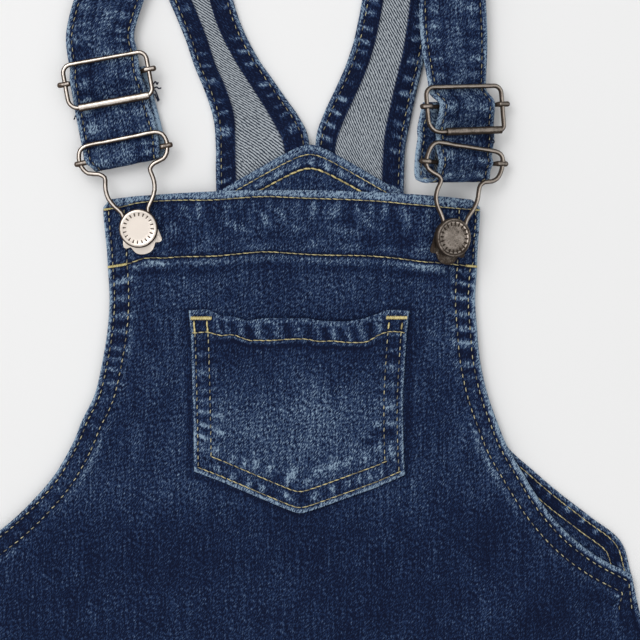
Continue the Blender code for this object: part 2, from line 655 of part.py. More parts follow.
def build_plate(name, seat, metal, collection):
    """Cuts the keyhole plate from sheet: its outline and its hole filled as one flat curve."""
    data = bpy.data.curves.new(name, "CURVE")
    data.dimensions = "2D"
    data.fill_mode = "BOTH"
    data.extrude = PLATE / 2 * MM
    half = smooth_points(PLATE_OUTLINE, [2] * len(PLATE_OUTLINE))
    outline = [(x, y) for x, y in half] + [(-x, y) for x, y in half[-2:0:-1]]
    hole = [(KEYHOLE * cos(2 * pi * step / 20), KEYHOLE * sin(2 * pi * step / 20)) for step in range(20)]
    for ring in (outline, hole):
        spline = data.splines.new("POLY")
        spline.points.add(len(ring) - 1)
        for place, (x, y) in zip(spline.points, ring):
            place.co = (x * MM, (y - BUTTON_DROP) * MM, 0.0, 1.0)
        spline.use_cyclic_u = True
    piece = add_piece(name, data, metal, collection)
    piece.matrix_world = metre_matrix(seat) @ Matrix.Translation(Vector((0.0, 0.0, (PLATE_TOP - PLATE / 2) * MM)))


def build_button(side, metal, collection):
    """Turns a tack button with its post, standing through the plate's keyhole."""
    cap, post = BUTTON / 2, POST / 2
    profile = ((0.0, 1.7), (5.2, 1.6), (6.6, 1.9), (7.6, 1.9), (cap - 0.3, 1.5), (cap, 0.9), (cap - 0.2, 0.3),
               (cap - 0.9, 0.0), (post, 0.0), (post, POST_REACH[side] - BUTTON_FLOOR),
               (0.0, POST_REACH[side] - BUTTON_FLOOR))
    button = turned_piece("button_" + side, profile, 28, metal, collection)
    spot = Matrix.Translation(Vector((0.0, -BUTTON_DROP * MM, BUTTON_FLOOR * MM)))
    button.matrix_world = metre_matrix(HOOK_SEATS[side]) @ spot


def make_material(name, colour, roughness, metallic):
    """Makes a plain material in the piece's own colour."""
    material = bpy.data.materials.new(name)
    material.use_nodes = True
    surface = material.node_tree.nodes["Principled BSDF"]
    surface.inputs["Base Color"].default_value = (*colour, 1.0)
    surface.inputs["Roughness"].default_value = roughness
    surface.inputs["Metallic"].default_value = metallic
    return material


def main():
    for old in list(bpy.data.objects):
        bpy.data.objects.remove(old, do_unlink=True)
    collection = bpy.data.collections.new("pinafore_dress")
    bpy.context.scene.collection.children.link(collection)
    denim = make_material("denim", (0.016, 0.028, 0.062), 0.9, 0.0)
    metal = make_material("nickel", (0.42, 0.38, 0.34), 0.35, 1.0)
    build_back(denim, collection)
    build_facing(denim, collection)
    build_front(denim, collection)
    build_pocket(denim, collection)
    build_strap("left", LEFT_BACK_STRAP, LEFT_FRONT_STRAP, denim, collection)
    build_strap("right", RIGHT_BACK_STRAP, RIGHT_FRONT_STRAP, denim, collection)
    for side in ("left", "right"):
        build_slider(side, metal, collection)
        build_hook(side, metal, collection)
        build_button(side, metal, collection)


main()
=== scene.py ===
# Child's denim pinafore dress, laid flat on its back: its looks, built round the CAD frame.
# Tables are in millimetres: x across, depth down from the bib's top edge, z up from the floor.

from math import ceil, cos, pi, radians, sin, sqrt

import bpy
import numpy as np
from mathutils import Matrix, Vector


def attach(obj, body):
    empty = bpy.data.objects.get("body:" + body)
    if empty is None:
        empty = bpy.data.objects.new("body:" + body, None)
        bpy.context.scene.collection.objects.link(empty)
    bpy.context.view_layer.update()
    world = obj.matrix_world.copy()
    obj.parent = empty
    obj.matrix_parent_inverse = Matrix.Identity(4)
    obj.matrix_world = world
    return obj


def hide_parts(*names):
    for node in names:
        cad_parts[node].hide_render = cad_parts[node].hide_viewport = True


mm = 0.001
bibTop = 109.0  # how far the bib's top edge lies above the frame's middle
cloth = 1.2  # thickness of the denim
gap = 0.3  # between pieces that meet

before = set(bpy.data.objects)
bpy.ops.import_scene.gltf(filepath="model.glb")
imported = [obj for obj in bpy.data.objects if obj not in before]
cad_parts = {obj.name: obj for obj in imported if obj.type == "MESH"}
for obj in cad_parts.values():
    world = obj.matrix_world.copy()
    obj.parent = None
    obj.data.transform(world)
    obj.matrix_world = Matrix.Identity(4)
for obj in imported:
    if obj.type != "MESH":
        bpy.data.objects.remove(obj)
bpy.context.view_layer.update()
print("frame loaded with", len(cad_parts), "nodes")


# Small helpers

def ease(low, high, at):
    share = np.clip((at - low) / (high - low), 0.0, 1.0)
    return share * share * (3.0 - 2.0 * share)


def bell(at, centre, width):
    return np.exp(-((at - centre) / width) ** 2)


def cloudy(x, y, seed):
    # Smooth random field from -1 to 1 with features about one unit wide
    table = np.random.default_rng(seed).uniform(-1.0, 1.0, (64, 64))
    x = np.asarray(x, dtype=float)
    y = np.asarray(y, dtype=float)
    column = np.floor(x).astype(int)
    row = np.floor(y).astype(int)
    across = x - column
    down = y - row
    across = across * across * (3.0 - 2.0 * across)
    down = down * down * (3.0 - 2.0 * down)
    nearLeft = table[row % 64, column % 64]
    nearRight = table[row % 64, (column + 1) % 64]
    farLeft = table[(row + 1) % 64, column % 64]
    farRight = table[(row + 1) % 64, (column + 1) % 64]
    near = nearLeft * (1.0 - across) + nearRight * across
    far = farLeft * (1.0 - across) + farRight * across
    return near * (1.0 - down) + far * down


def patchy(at, share, seed, line=0.0):
    # Uneven strength along a line, from 1 down to 1 less twice the share
    return 1.0 - share + share * cloudy(at, at * 0.0 + line, seed)


def pucker(along, across, period, seed):
    # Ripples that run across a hem, from -1 to 1
    phase = along / period * 2 * pi + 2.6 * cloudy(along / 11.0, across * 0.0 + seed, seed)
    return np.sin(phase + 0.10 * across) * patchy(along / 7.0, 0.38, seed + 1, 3.5)


def rubbedAndShaded(ripple, pale, dark):
    # Pale on a ripple's crests, where it has rubbed, and painted shade in its troughs
    return pale * np.maximum(ripple, 0.0) - dark * np.maximum(-ripple, 0.0)


def creases(table, x, depth):
    # Bumps and troughs by centre x and depth, half lengths, turn and height
    height = 0.0
    for centreX, centreDepth, long, wide, turn, rise in table:
        along = (x - centreX) * cos(radians(turn)) - (depth - centreDepth) * sin(radians(turn))
        across = (x - centreX) * sin(radians(turn)) + (depth - centreDepth) * cos(radians(turn))
        reach = (along / long) ** 2 + (across / wide) ** 2
        height = height + rise * np.maximum(0.0, 1.0 - reach / 4.0) ** 2
    return height


def smoothPath(points, steps):
    # Smooth curve through points, with the given number of steps after each of them
    points = [np.array(point, dtype=float) for point in points]
    ends = [2 * points[0] - points[1]] + points + [2 * points[-1] - points[-2]]
    path = []
    for index in range(len(points) - 1):
        before, start, end, after = ends[index:index + 4]
        spans = [max(sqrt(np.linalg.norm(b - a)), 1e-6) for a, b in
                 ((before, start), (start, end), (end, after))]
        leave = (start - before) / spans[0] - (end - before) / (spans[0] + spans[1])
        leave = (leave + (end - start) / spans[1]) * spans[1]
        arrive = (end - start) / spans[1] - (after - start) / (spans[1] + spans[2])
        arrive = (arrive + (after - end) / spans[2]) * spans[1]
        for step in range(steps[index]):
            t = step / steps[index]
            path.append((2 * t**3 - 3 * t**2 + 1) * start + (t**3 - 2 * t**2 + t) * leave
                        + (3 * t**2 - 2 * t**3) * end + (t**3 - t**2) * arrive)
    path.append(points[-1])
    return np.array(path)


def finePath(points, spacing):
    # Same curve with points about one spacing apart
    steps = []
    for start, end in zip(points[:-1], points[1:]):
        reach = max(np.hypot(end[0] - start[0], end[1] - start[1]), spacing)
        steps.append(ceil(reach / spacing))
    return smoothPath(points, steps + [1])


def byX(table, x):
    # A smooth run of values across the garment
    points = smoothPath(table, [5] * len(table))
    return np.interp(x, points[:, 0], points[:, 1])


def arcLength(points):
    steps = np.linalg.norm(np.diff(points, axis=0), axis=1)
    return np.concatenate(([0.0], np.cumsum(steps)))


def rowSag(across, sharpness):
    # Share of a row's sag: 1 in the middle and 0 at its ends
    rise = np.sqrt(across**2 + sharpness**2) - sharpness
    return 1.0 - rise / (sqrt(1.0 + sharpness**2) - sharpness)


# Shader maths

class Value:
    # A number socket in a node tree, so that shader maths reads as plain expressions
    def __init__(self, tree, socket):
        self.tree = tree
        self.socket = socket

    def math(self, operation, *others):
        node = self.tree.nodes.new("ShaderNodeMath")
        node.operation = operation
        for slot, value in zip(node.inputs, (self, *others)):
            if isinstance(value, Value):
                self.tree.links.new(value.socket, slot)
            else:
                slot.default_value = value
        return Value(self.tree, node.outputs[0])

    def __add__(self, other):
        return self.math("ADD", other)

    def __radd__(self, other):
        return self.math("ADD", other)

    def __sub__(self, other):
        return self.math("SUBTRACT", other)

    def __rsub__(self, other):
        return (self * -1.0) + other

    def __mul__(self, other):
        return self.math("MULTIPLY", other)

    def __rmul__(self, other):
        return self.math("MULTIPLY", other)

    def __truediv__(self, other):
        return self.math("DIVIDE", other)

    def __pow__(self, other):
        return self.math("POWER", other)

    def clamp(self, low, high):
        return self.math("MAXIMUM", low).math("MINIMUM", high)

    def wave(self):
        return self.math("SINE")

    def size(self):
        return self.math("ABSOLUTE")


class Surface:
    # One material being put together
    def __init__(self, name):
        self.material = bpy.data.materials.new(name)
        self.material.use_nodes = True
        self.tree = self.material.node_tree
        self.shader = self.tree.nodes["Principled BSDF"]

    def feed(self, slot, value):
        # Links a value to a socket, or sets a number or a colour on it
        if isinstance(value, Value):
            self.tree.links.new(value.socket, slot)
        else:
            slot.default_value = (*value, 1.0) if isinstance(value, tuple) else value

    def node(self, kind, settings=(), **sockets):
        made = self.tree.nodes.new(kind)
        for name, value in dict(settings).items():
            setattr(made, name, value)
        for name, value in sockets.items():
            self.feed(made.inputs[name.replace("_", " ")], value)
        return made

    def out(self, made, name=0):
        return Value(self.tree, made.outputs[name])

    def attribute(self, name):
        return self.out(self.node("ShaderNodeAttribute", {"attribute_name": name}), "Fac")

    def vector(self, x, y, z=0.0):
        return self.out(self.node("ShaderNodeCombineXYZ", X=x, Y=y, Z=z))

    def noise(self, place, scale, detail=2.0, roughness=0.5):
        made = self.node("ShaderNodeTexNoise", Vector=place, Scale=scale, Detail=detail,
                         Roughness=roughness)
        return self.out(made, "Fac")

    def step(self, value, low, high):
        # Eases from 0 to 1 as the value goes from low to high
        made = self.node("ShaderNodeMapRange", {"interpolation_type": "SMOOTHSTEP"}, Value=value,
                         From_Min=low, From_Max=high)
        return self.out(made)

    def mix(self, share, first, second):
        made = self.tree.nodes.new("ShaderNodeMix")
        made.data_type = "RGBA"
        for slot, value in ((0, share), (6, first), (7, second)):  # its factor and its two colours
            self.feed(made.inputs[slot], value)
        return self.out(made, 2)

    def bump(self, height, distance, strength=1.0):
        made = self.node("ShaderNodeBump", Height=height, Distance=distance, Strength=strength)
        self.tree.links.new(made.outputs[0], self.shader.inputs["Normal"])

    def set(self, **sockets):
        for name, value in sockets.items():
            self.feed(self.shader.inputs[name.replace("_", " ")], value)
        return self.material


def clothPlace(surface):
    # Cloth coordinates in millimetres: u across the warp, v along it
    made = surface.node("ShaderNodeUVMap", {"uv_map": "cloth"})
    parts = surface.node("ShaderNodeSeparateXYZ", Vector=surface.out(made))
    return surface.out(parts, "X") * 1000.0, surface.out(parts, "Y") * 1000.0


denimLook = {
    "dark": (0.0029, 0.0061, 0.0235),
    "indigo": (0.0120, 0.0284, 0.0840),
    "faded": (0.0720, 0.1130, 0.1900),
    "pale": (0.2500, 0.3450, 0.4500),
    "greyDark": (0.022, 0.032, 0.050),
    "greyLight": (0.44, 0.48, 0.52),
    "base": 0.165,
    "speckle": 0.74,
    # How strong each part of the grain is
    "hatch": 3.0,
    "fine": 1.2,
    "streak": 1.15,
    "spots": 0.7,
    "mottle": 0.26,
    # The shades that follow the dark one, and the tones between which each comes in
    "fading": (("indigo", -0.12, 0.34), ("faded", 0.20, 0.74), ("pale", 0.56, 1.10)),
}


def denimSurface(name, look):
    surface = Surface(name)
    u, v = clothPlace(surface)
    # Tone from real wear and from painted shade in grooves, troughs and beside raised pieces
    wearAndShade = surface.attribute("wearAndShade")
    # Short hatch strokes along the twill, streaks along the warp and single light spots
    along, across = u * 0.53 + v * 0.85, u * 0.85 - v * 0.53
    hatch = surface.noise(surface.vector(across * 2.2, along * 0.66), 1.0, 1.0, 0.5)
    fine = surface.noise(surface.vector(u * 2.6, v * 1.5), 1.0, 1.0, 0.5)
    streak = surface.noise(surface.vector(u * 1.05, v * 0.04), 1.0, 2.0, 0.6)
    spots = surface.noise(surface.vector(u * 0.8, v * 0.55), 1.0, 1.0, 0.5)
    mottle = surface.noise(surface.vector(u * 0.085, v * 0.06), 1.0, 3.0, 0.55)
    grain = (hatch - 0.508) * look["hatch"] + (fine - 0.5) * look["fine"]
    grain = grain + (streak - 0.5) * look["streak"] + (spots - 0.5) * look["spots"]
    tone = wearAndShade + grain * (wearAndShade * 0.75 + look["speckle"]).clamp(0.35, 1.1)
    tone = tone + (mottle - 0.5) * look["mottle"] + look["base"]
    colour = look["dark"]
    for shade, low, high in look["fading"]:
        colour = surface.mix(surface.step(tone, low, high), colour, look[shade])
    # Wrong side: grey with clear dark twill lines
    inside = surface.attribute("inside")
    lines = ((u * 4.5 - v * 3.7) + (spots - 0.5) * 3.4).wave()
    grey = surface.step(lines * 0.85 + (hatch - 0.5) * 2.8 + (mottle - 0.5) * 0.5, -0.70, 0.85)
    colour = surface.mix(inside, colour, surface.mix(grey, look["greyDark"], look["greyLight"]))
    surface.bump(grain * 0.6 + lines * inside * 0.3, 0.00014, 0.8)
    return surface.set(Base_Color=colour, Roughness=0.92, Specular_IOR_Level=0.12)


denim = denimSurface("denim_worn_and_shaded", denimLook)


# Cloth walls

def panelGrid(plan):
    # Lays out a panel's points by its rows, with the distances to its side and top edges
    armRows = finePath(plan["armhole"], plan["spacing"])
    hemmed = len(armRows)
    rows = armRows
    if plan["seam"]:
        seamRows = finePath(plan["seam"], plan["seamSpacing"])
        between = ceil(abs(seamRows[0][1] - armRows[-1][1]) / plan["spacing"])
        rows = np.concatenate((armRows, seamRows))
    left = rows[:, 0:2]
    right = rows[:, 2:4]
    sag = rows[:, 4]
    leftIn = edgeNormals(left[:hemmed], -1.0)
    rightIn = edgeNormals(right[:hemmed], 1.0)
    if plan["seam"]:
        level = np.zeros((len(rows) - hemmed, 2))
        level[:, 0] = 1.0
        leftIn = np.concatenate((leftIn, level))
        rightIn = np.concatenate((rightIn, -level))
        left, right, leftIn, rightIn, sag = (bridged(part, hemmed, between)
                                             for part in (left, right, leftIn, rightIn, sag))
        hemmed = hemmed + between - 1
    offsets = np.array(plan["offsets"])
    share = np.linspace(0.0, 1.0, plan["columns"] + 1)[None, :, None]
    starts = left[:, None, :] + leftIn[:, None, :] * offsets[None, :, None]
    ends = right[:, None, :] + rightIn[:, None, :] * offsets[None, :, None]
    inner = starts[:, -1:, :] * (1.0 - share) + ends[:, -1:, :] * share
    points = np.concatenate((starts[:, :-1], inner, ends[:, ::-1][:, 1:]), axis=1)
    middle = (left[:, 0] + right[:, 0])[:, None] / 2
    half = (right[:, 0] - left[:, 0])[:, None] / 2
    x = points[:, :, 0]
    sagging = np.maximum(rowSag((x - middle) / half, plan["sharpness"]), 0.0)
    depth = points[:, :, 1] + sag[:, None] * sagging
    width = np.linalg.norm(ends[:, -1] - starts[:, -1], axis=1)[:, None]
    innerSide = offsets[-1] + width * np.minimum(share[:, :, 0], 1.0 - share[:, :, 0])
    offsetRows = np.tile(offsets, (len(left), 1))
    side = np.concatenate((offsetRows[:, :-1], innerSide, offsetRows[:, ::-1][:, 1:]), axis=1)
    onRight = np.arange(x.shape[1])[None, :] > x.shape[1] / 2
    along = np.where(onRight, arcLength(right)[:, None], arcLength(left)[:, None])
    down = np.cumsum(np.hypot(np.diff(x, axis=0), np.diff(depth, axis=0)), axis=0)
    top = np.concatenate((np.zeros((1, x.shape[1])), down))
    return {"x": x, "depth": depth, "side": side, "along": along, "top": top, "bottom": top[-1:] - top,
            "onRight": onRight & np.ones_like(side, dtype=bool), "hemmed": hemmed}


def bridged(part, row, steps):
    # Adds rows between the last armhole row and the first side seam row
    shares = np.arange(1, steps) / steps
    if part.ndim == 2:
        shares = shares[:, None]
    between = part[row - 1] * (1.0 - shares) + part[row] * shares
    return np.concatenate((part[:row], between, part[row:]))


def edgeNormals(points, side):
    along = np.gradient(points, axis=0)
    along = along / np.linalg.norm(along, axis=1)[:, None]
    return np.stack((along[:, 1], -along[:, 0]), axis=1) * -side


def rimProfile(distance, radius):
    # Share of the wall's half thickness near a folded edge, rounded over
    reach = np.clip(distance / radius, 0.0, 1.0)
    return np.sqrt(np.clip(1.0 - (1.0 - reach) ** 2, 0.0, 1.0))


def clothWall(name, upper, lower, place, wearAndShade, material, extras=()):
    # Closed wall between two grids of points in millimetres, with its cloth coordinates, and its wear with
    # painted shade
    rows, columns = upper.shape[:2]
    count = rows * columns
    points = np.concatenate((upper.reshape(-1, 3), lower.reshape(-1, 3))) * mm
    index = np.arange(count).reshape(rows, columns)
    quads = np.stack((index[:-1, :-1], index[1:, :-1], index[1:, 1:], index[:-1, 1:]), axis=-1)
    quads = quads.reshape(-1, 4)
    under = quads[:, ::-1] + count
    ring = np.concatenate((index[0, :], index[1:, -1], index[-1, -2::-1], index[-2:0:-1, 0]))
    after = np.roll(ring, -1)
    rim = np.stack((ring, after, after + count, ring + count), axis=-1)
    faces = np.concatenate((quads, under, rim))
    data = bpy.data.meshes.new(name)
    data.from_pydata(points.tolist(), [], faces.tolist())
    spots = np.concatenate((place.reshape(-1, 2), place.reshape(-1, 2))) * mm
    layer = data.uv_layers.new(name="cloth")
    corners = np.zeros(len(data.loops), dtype=int)
    data.loops.foreach_get("vertex_index", corners)
    layer.data.foreach_set("uv", spots[corners].ravel())
    extras = dict(extras)
    plain = np.zeros_like(wearAndShade)
    marks = {"wearAndShade": (wearAndShade, extras.get("wearAndShadeUnder", wearAndShade)),
             "inside": (extras.get("inside", plain), extras.get("insideUnder", plain))}
    for mark, (over, beneath) in marks.items():
        stored = data.attributes.new(mark, "FLOAT", "POINT")
        stored.data.foreach_set("value", np.concatenate((over.ravel(), beneath.ravel())))
    data.materials.append(material)
    data.shade_smooth()
    data.update()
    piece = bpy.data.objects.new(name, data)
    bpy.context.collection.objects.link(piece)
    return piece


def panelWall(name, plan, grid, floor, relief, wearAndShade, place, extras=()):
    # A panel's closed wall over its floor, rounded over at its edges, with the relief on its upper face
    x, depth = grid["x"], grid["depth"]
    edge = np.minimum(np.minimum(grid["side"], grid["top"]), grid["bottom"])
    share = rimProfile(edge, plan["rim"])
    middle = floor + 0.5 * cloth
    upper = np.stack((x, bibTop - depth, middle + (0.5 * cloth + relief) * share), axis=-1)
    lower = np.stack((x, bibTop - depth, middle - 0.5 * cloth * share), axis=-1)
    return clothWall(name, upper, lower, np.stack(place, axis=-1), wearAndShade, denim, extras)


# Front panel: bib and skirt in one piece

# Rows of a panel run from its left edge to its right edge, and columns from its top to its foot.
# Each row: its left end's x and depth, its right end's x and depth, and how far it sags between them.

front = {
    "armhole": (
        (-82.9, 2.4, 83.4, 2.6, -3.9), (-81.7, 31.5, 83.0, 31.5, -6.0), (-81.6, 33.0, 83.0, 33.0, -5.8),
        (-80.9, 47.0, 82.2, 47.0, -3.0), (-81.7, 60.0, 83.0, 60.0, -1.5),
        (-83.9, 74.0, 84.3, 74.0, -0.6), (-87.6, 89.5, 87.8, 89.5, 0.0),
        (-93.0, 100.5, 91.7, 100.6, 0.0), (-96.6, 109.5, 95.8, 110.9, 0.0),
        (-104.7, 124.0, 103.4, 124.2, 0.0), (-115.5, 136.8, 112.4, 138.4, 0.0),
        (-127.0, 147.5, 123.8, 151.4, 0.0), (-139.0, 156.0, 136.8, 161.4, 0.0),
        (-152.0, 162.5, 152.0, 169.5, 0.0),
    ),
    "seam": (
        (-155.2, 178.0, 155.0, 184.0, 0.0), (-164.0, 216.0, 164.0, 218.0, 1.0),
        (-177.5, 275.0, 177.5, 275.0, 4.0), (-188.8, 321.0, 188.8, 321.0, 7.0),
        (-189.2, 322.5, 189.2, 322.5, 7.2), (-195.0, 347.0, 195.0, 347.0, 8.0),
    ),
    "sharpness": 1.5,  # the lower, the more pointed a row's sag
    "spacing": 1.0,  # between rows
    "seamSpacing": 2.4,
    # How far the outer columns lie from the side edge, and how many share what lies between
    "offsets": (
        0.0, 0.12, 0.35, 0.7, 1.1, 1.6, 2.1, 2.6, 3.3, 4.2, 5.2, 6.2, 7.2, 8.0, 8.6, 9.2, 10.0, 11.0,
        12.0, 13.0, 14.0,
    ),
    "columns": 118,
    "floor": 1.5,
    "overFacing": (8.5, 44.0, 3.8),  # the facing's middle and half width, and how far it lifts this
    "pulled": (62.0, 14.0, 30.0, 3.0),  # where the right hook lifts it: x, depth, reach and height
    "waves": (390.0, 5, 1.6),  # of the skirt's hem: its width, their number and height
    "rim": 1.0,  # radius of the rounded edges
    "band": 0.5,  # how far the top band stands up
    # Stitch lines by their distance from the edge that they follow
    "bandStitch": 2.8,
    "bandFoot": 27.2,
    "leftStitches": (2.4, 8.7),
    "rightStitches": (3.2, 8.9),
    "hemStitch": 21.0,
    # Bar tacks end the band's two lines: the x where each begins, and its width
    "topTacks": ((-80.0, 0.9), (79.0, 0.9)),
    "footTacks": ((-72.8, 1.15), (77.0, 1.1)),
    # How much lower the stitch at the band's foot lies than a line along the top edge: x and drop
    "footDrop": (
        (-84.0, 2.9), (-72.6, 2.4), (-69.5, 1.7), (-65.8, 0.7), (-60.0, 0.8), (-56.5, 1.2),
        (-50.7, 1.0), (-42.0, 1.3), (-32.6, 1.4), (-22.0, 0.7), (-11.2, 0.1), (0.0, 0.8), (13.0, 1.4),
        (34.9, 1.1), (48.7, 1.6), (58.7, 2.3), (64.0, 2.2), (75.5, 2.4), (84.0, 2.3),
    ),
    # The same for the stitch under the top edge
    "topDrop": (
        (-84.0, 1.7), (-76.0, 1.4), (-71.0, 0.7), (-65.0, 0.2), (-50.0, 0.4), (-36.0, 1.1),
        (-25.0, 0.7), (-12.0, 0.1), (0.0, 0.6), (9.0, 0.9), (25.0, 1.0), (42.0, 1.3), (51.0, 1.8),
        (62.0, 2.0), (73.0, 2.0), (84.0, 1.7),
    ),
    # Where the cloth under the band has rubbed pale: x and strength
    "footWorn": (
        (-84.0, 0.5), (-72.0, 0.2), (-67.0, 0.8), (-62.0, 1.3), (-56.5, 1.0), (-52.0, 0.4),
        (-46.0, 0.5), (-40.0, 0.9), (-30.0, 0.7), (-20.0, 0.4), (-8.0, 0.6), (4.0, 0.4), (16.0, 0.7),
        (30.0, 0.5), (42.0, 0.5), (50.0, 0.9), (58.0, 1.2), (66.0, 1.0), (70.0, 0.2), (84.0, 0.3),
    ),
    # Large creases of the bib and skirt: centre x and depth, half lengths, turn and height
    "creases": (
        (-8.0, 172.0, 26.0, 7.0, 16.0, -0.9),
        (-78.0, 177.0, 30.0, 7.0, -6.0, -0.8),
        (60.0, 166.0, 40.0, 9.0, -8.0, -0.6),
        (112.0, 178.0, 34.0, 8.0, 28.0, 1.4),
        (-116.0, 172.0, 30.0, 8.0, -30.0, 1.2),
        (20.0, 190.0, 60.0, 12.0, 4.0, 1.0),
    ),
    # Small creases that fan out from the band's stitches, pale on their crests and with painted shade in
    # their troughs, with the same columns
    "bandCreases": (
        (-24.7, 14.3, 5.2, 1.2, -22.0, 0.8), (-11.6, 10.9, 4.2, 1.2, -55.0, 0.8),
        (-46.4, 8.1, 3.4, 1.1, -75.0, 0.7), (-52.0, 15.5, 2.6, 2.0, 0.0, 0.5),
        (-40.6, 6.9, 3.6, 1.1, -85.0, 0.7), (-27.0, 6.0, 2.4, 1.1, 90.0, 0.6),
        (-4.7, 8.6, 3.6, 1.3, -60.0, 0.7), (-35.0, 20.0, 3.2, 1.6, 10.0, 0.4),
        (-16.0, 23.6, 4.6, 1.2, 0.0, 0.5), (-59.0, 8.6, 3.4, 1.4, 60.0, 0.4),
        (-40.5, 24.2, 4.6, 1.1, 6.0, 0.5), (10.0, 6.6, 3.6, 1.5, 80.0, 0.7),
        (19.1, 7.7, 4.0, 1.6, 60.0, 0.8), (32.8, 10.9, 4.6, 1.3, -50.0, 0.8),
        (24.8, 16.6, 5.4, 1.4, -10.0, 0.6), (36.2, 7.4, 3.6, 1.0, 90.0, 0.6),
        (42.5, 6.8, 3.0, 1.1, 90.0, 0.6), (51.0, 9.8, 5.0, 1.3, -75.0, 0.8),
        (59.6, 11.5, 5.0, 1.5, 85.0, 0.5), (58.6, 24.6, 4.0, 2.6, 0.0, 0.5),
        (43.0, 24.4, 3.4, 1.4, 0.0, 0.4), (10.5, 22.0, 3.8, 2.2, 0.0, 0.4),
        (25.9, 23.6, 4.0, 1.6, 0.0, 0.5), (3.6, 15.5, 3.2, 1.6, 0.0, 0.4),
        (-49.8, 22.6, 3.4, 2.2, 0.0, -0.6), (-23.0, 9.6, 3.4, 1.6, 80.0, -0.5),
        (-10.4, 18.3, 5.0, 2.2, 0.0, -0.5), (-36.0, 9.0, 2.8, 1.6, 90.0, -0.5),
        (5.4, 20.0, 2.6, 1.8, 90.0, -0.5), (24.2, 12.4, 4.0, 1.4, 0.0, -0.5),
        (35.0, 20.6, 4.2, 2.2, 0.0, -0.5), (49.9, 21.4, 4.6, 2.6, 0.0, -0.6),
        (46.5, 11.0, 3.6, 1.2, 90.0, -0.4),
    ),
}


def creaseHeight(x, depth):
    # Soft relief of the laid cloth, with waves towards the skirt's hem
    width, count, height = front["waves"]
    waves = 0.5 - 0.5 * np.cos(2 * pi * count * (x / width + 0.5))
    return creases(front["creases"], x, depth) + height * waves * ease(200.0, 330.0, depth) + 1.0


def frontFloor(x, depth):
    # Height of the front's underside, which lies on the facing, the strap ends and the back
    middle, half, lift = front["overFacing"]
    beside = np.maximum(np.abs(x - middle) - half, 0.0)
    overFacing = lift * (1.0 - 0.75 * ease(0.0, 34.0, beside)) * (1.0 - ease(8.0, 48.0, depth))
    fromSeam = ease(0.0, 40.0, 150.0 + 0.2 * np.maximum(depth - 165.0, 0.0) - np.abs(x))
    pullX, pullDepth, reach, rise = front["pulled"]
    away = ((x - pullX) ** 2 + (depth - pullDepth) ** 2) / reach**2
    pulled = rise * np.maximum(0.0, 1.0 - away) ** 2
    raised = overFacing + pulled + creaseHeight(x, depth) * fromSeam * ease(30.0, 75.0, depth)
    return front["floor"] + raised


# Pocket: bar tacked at both ends of its mouth, which sags between them

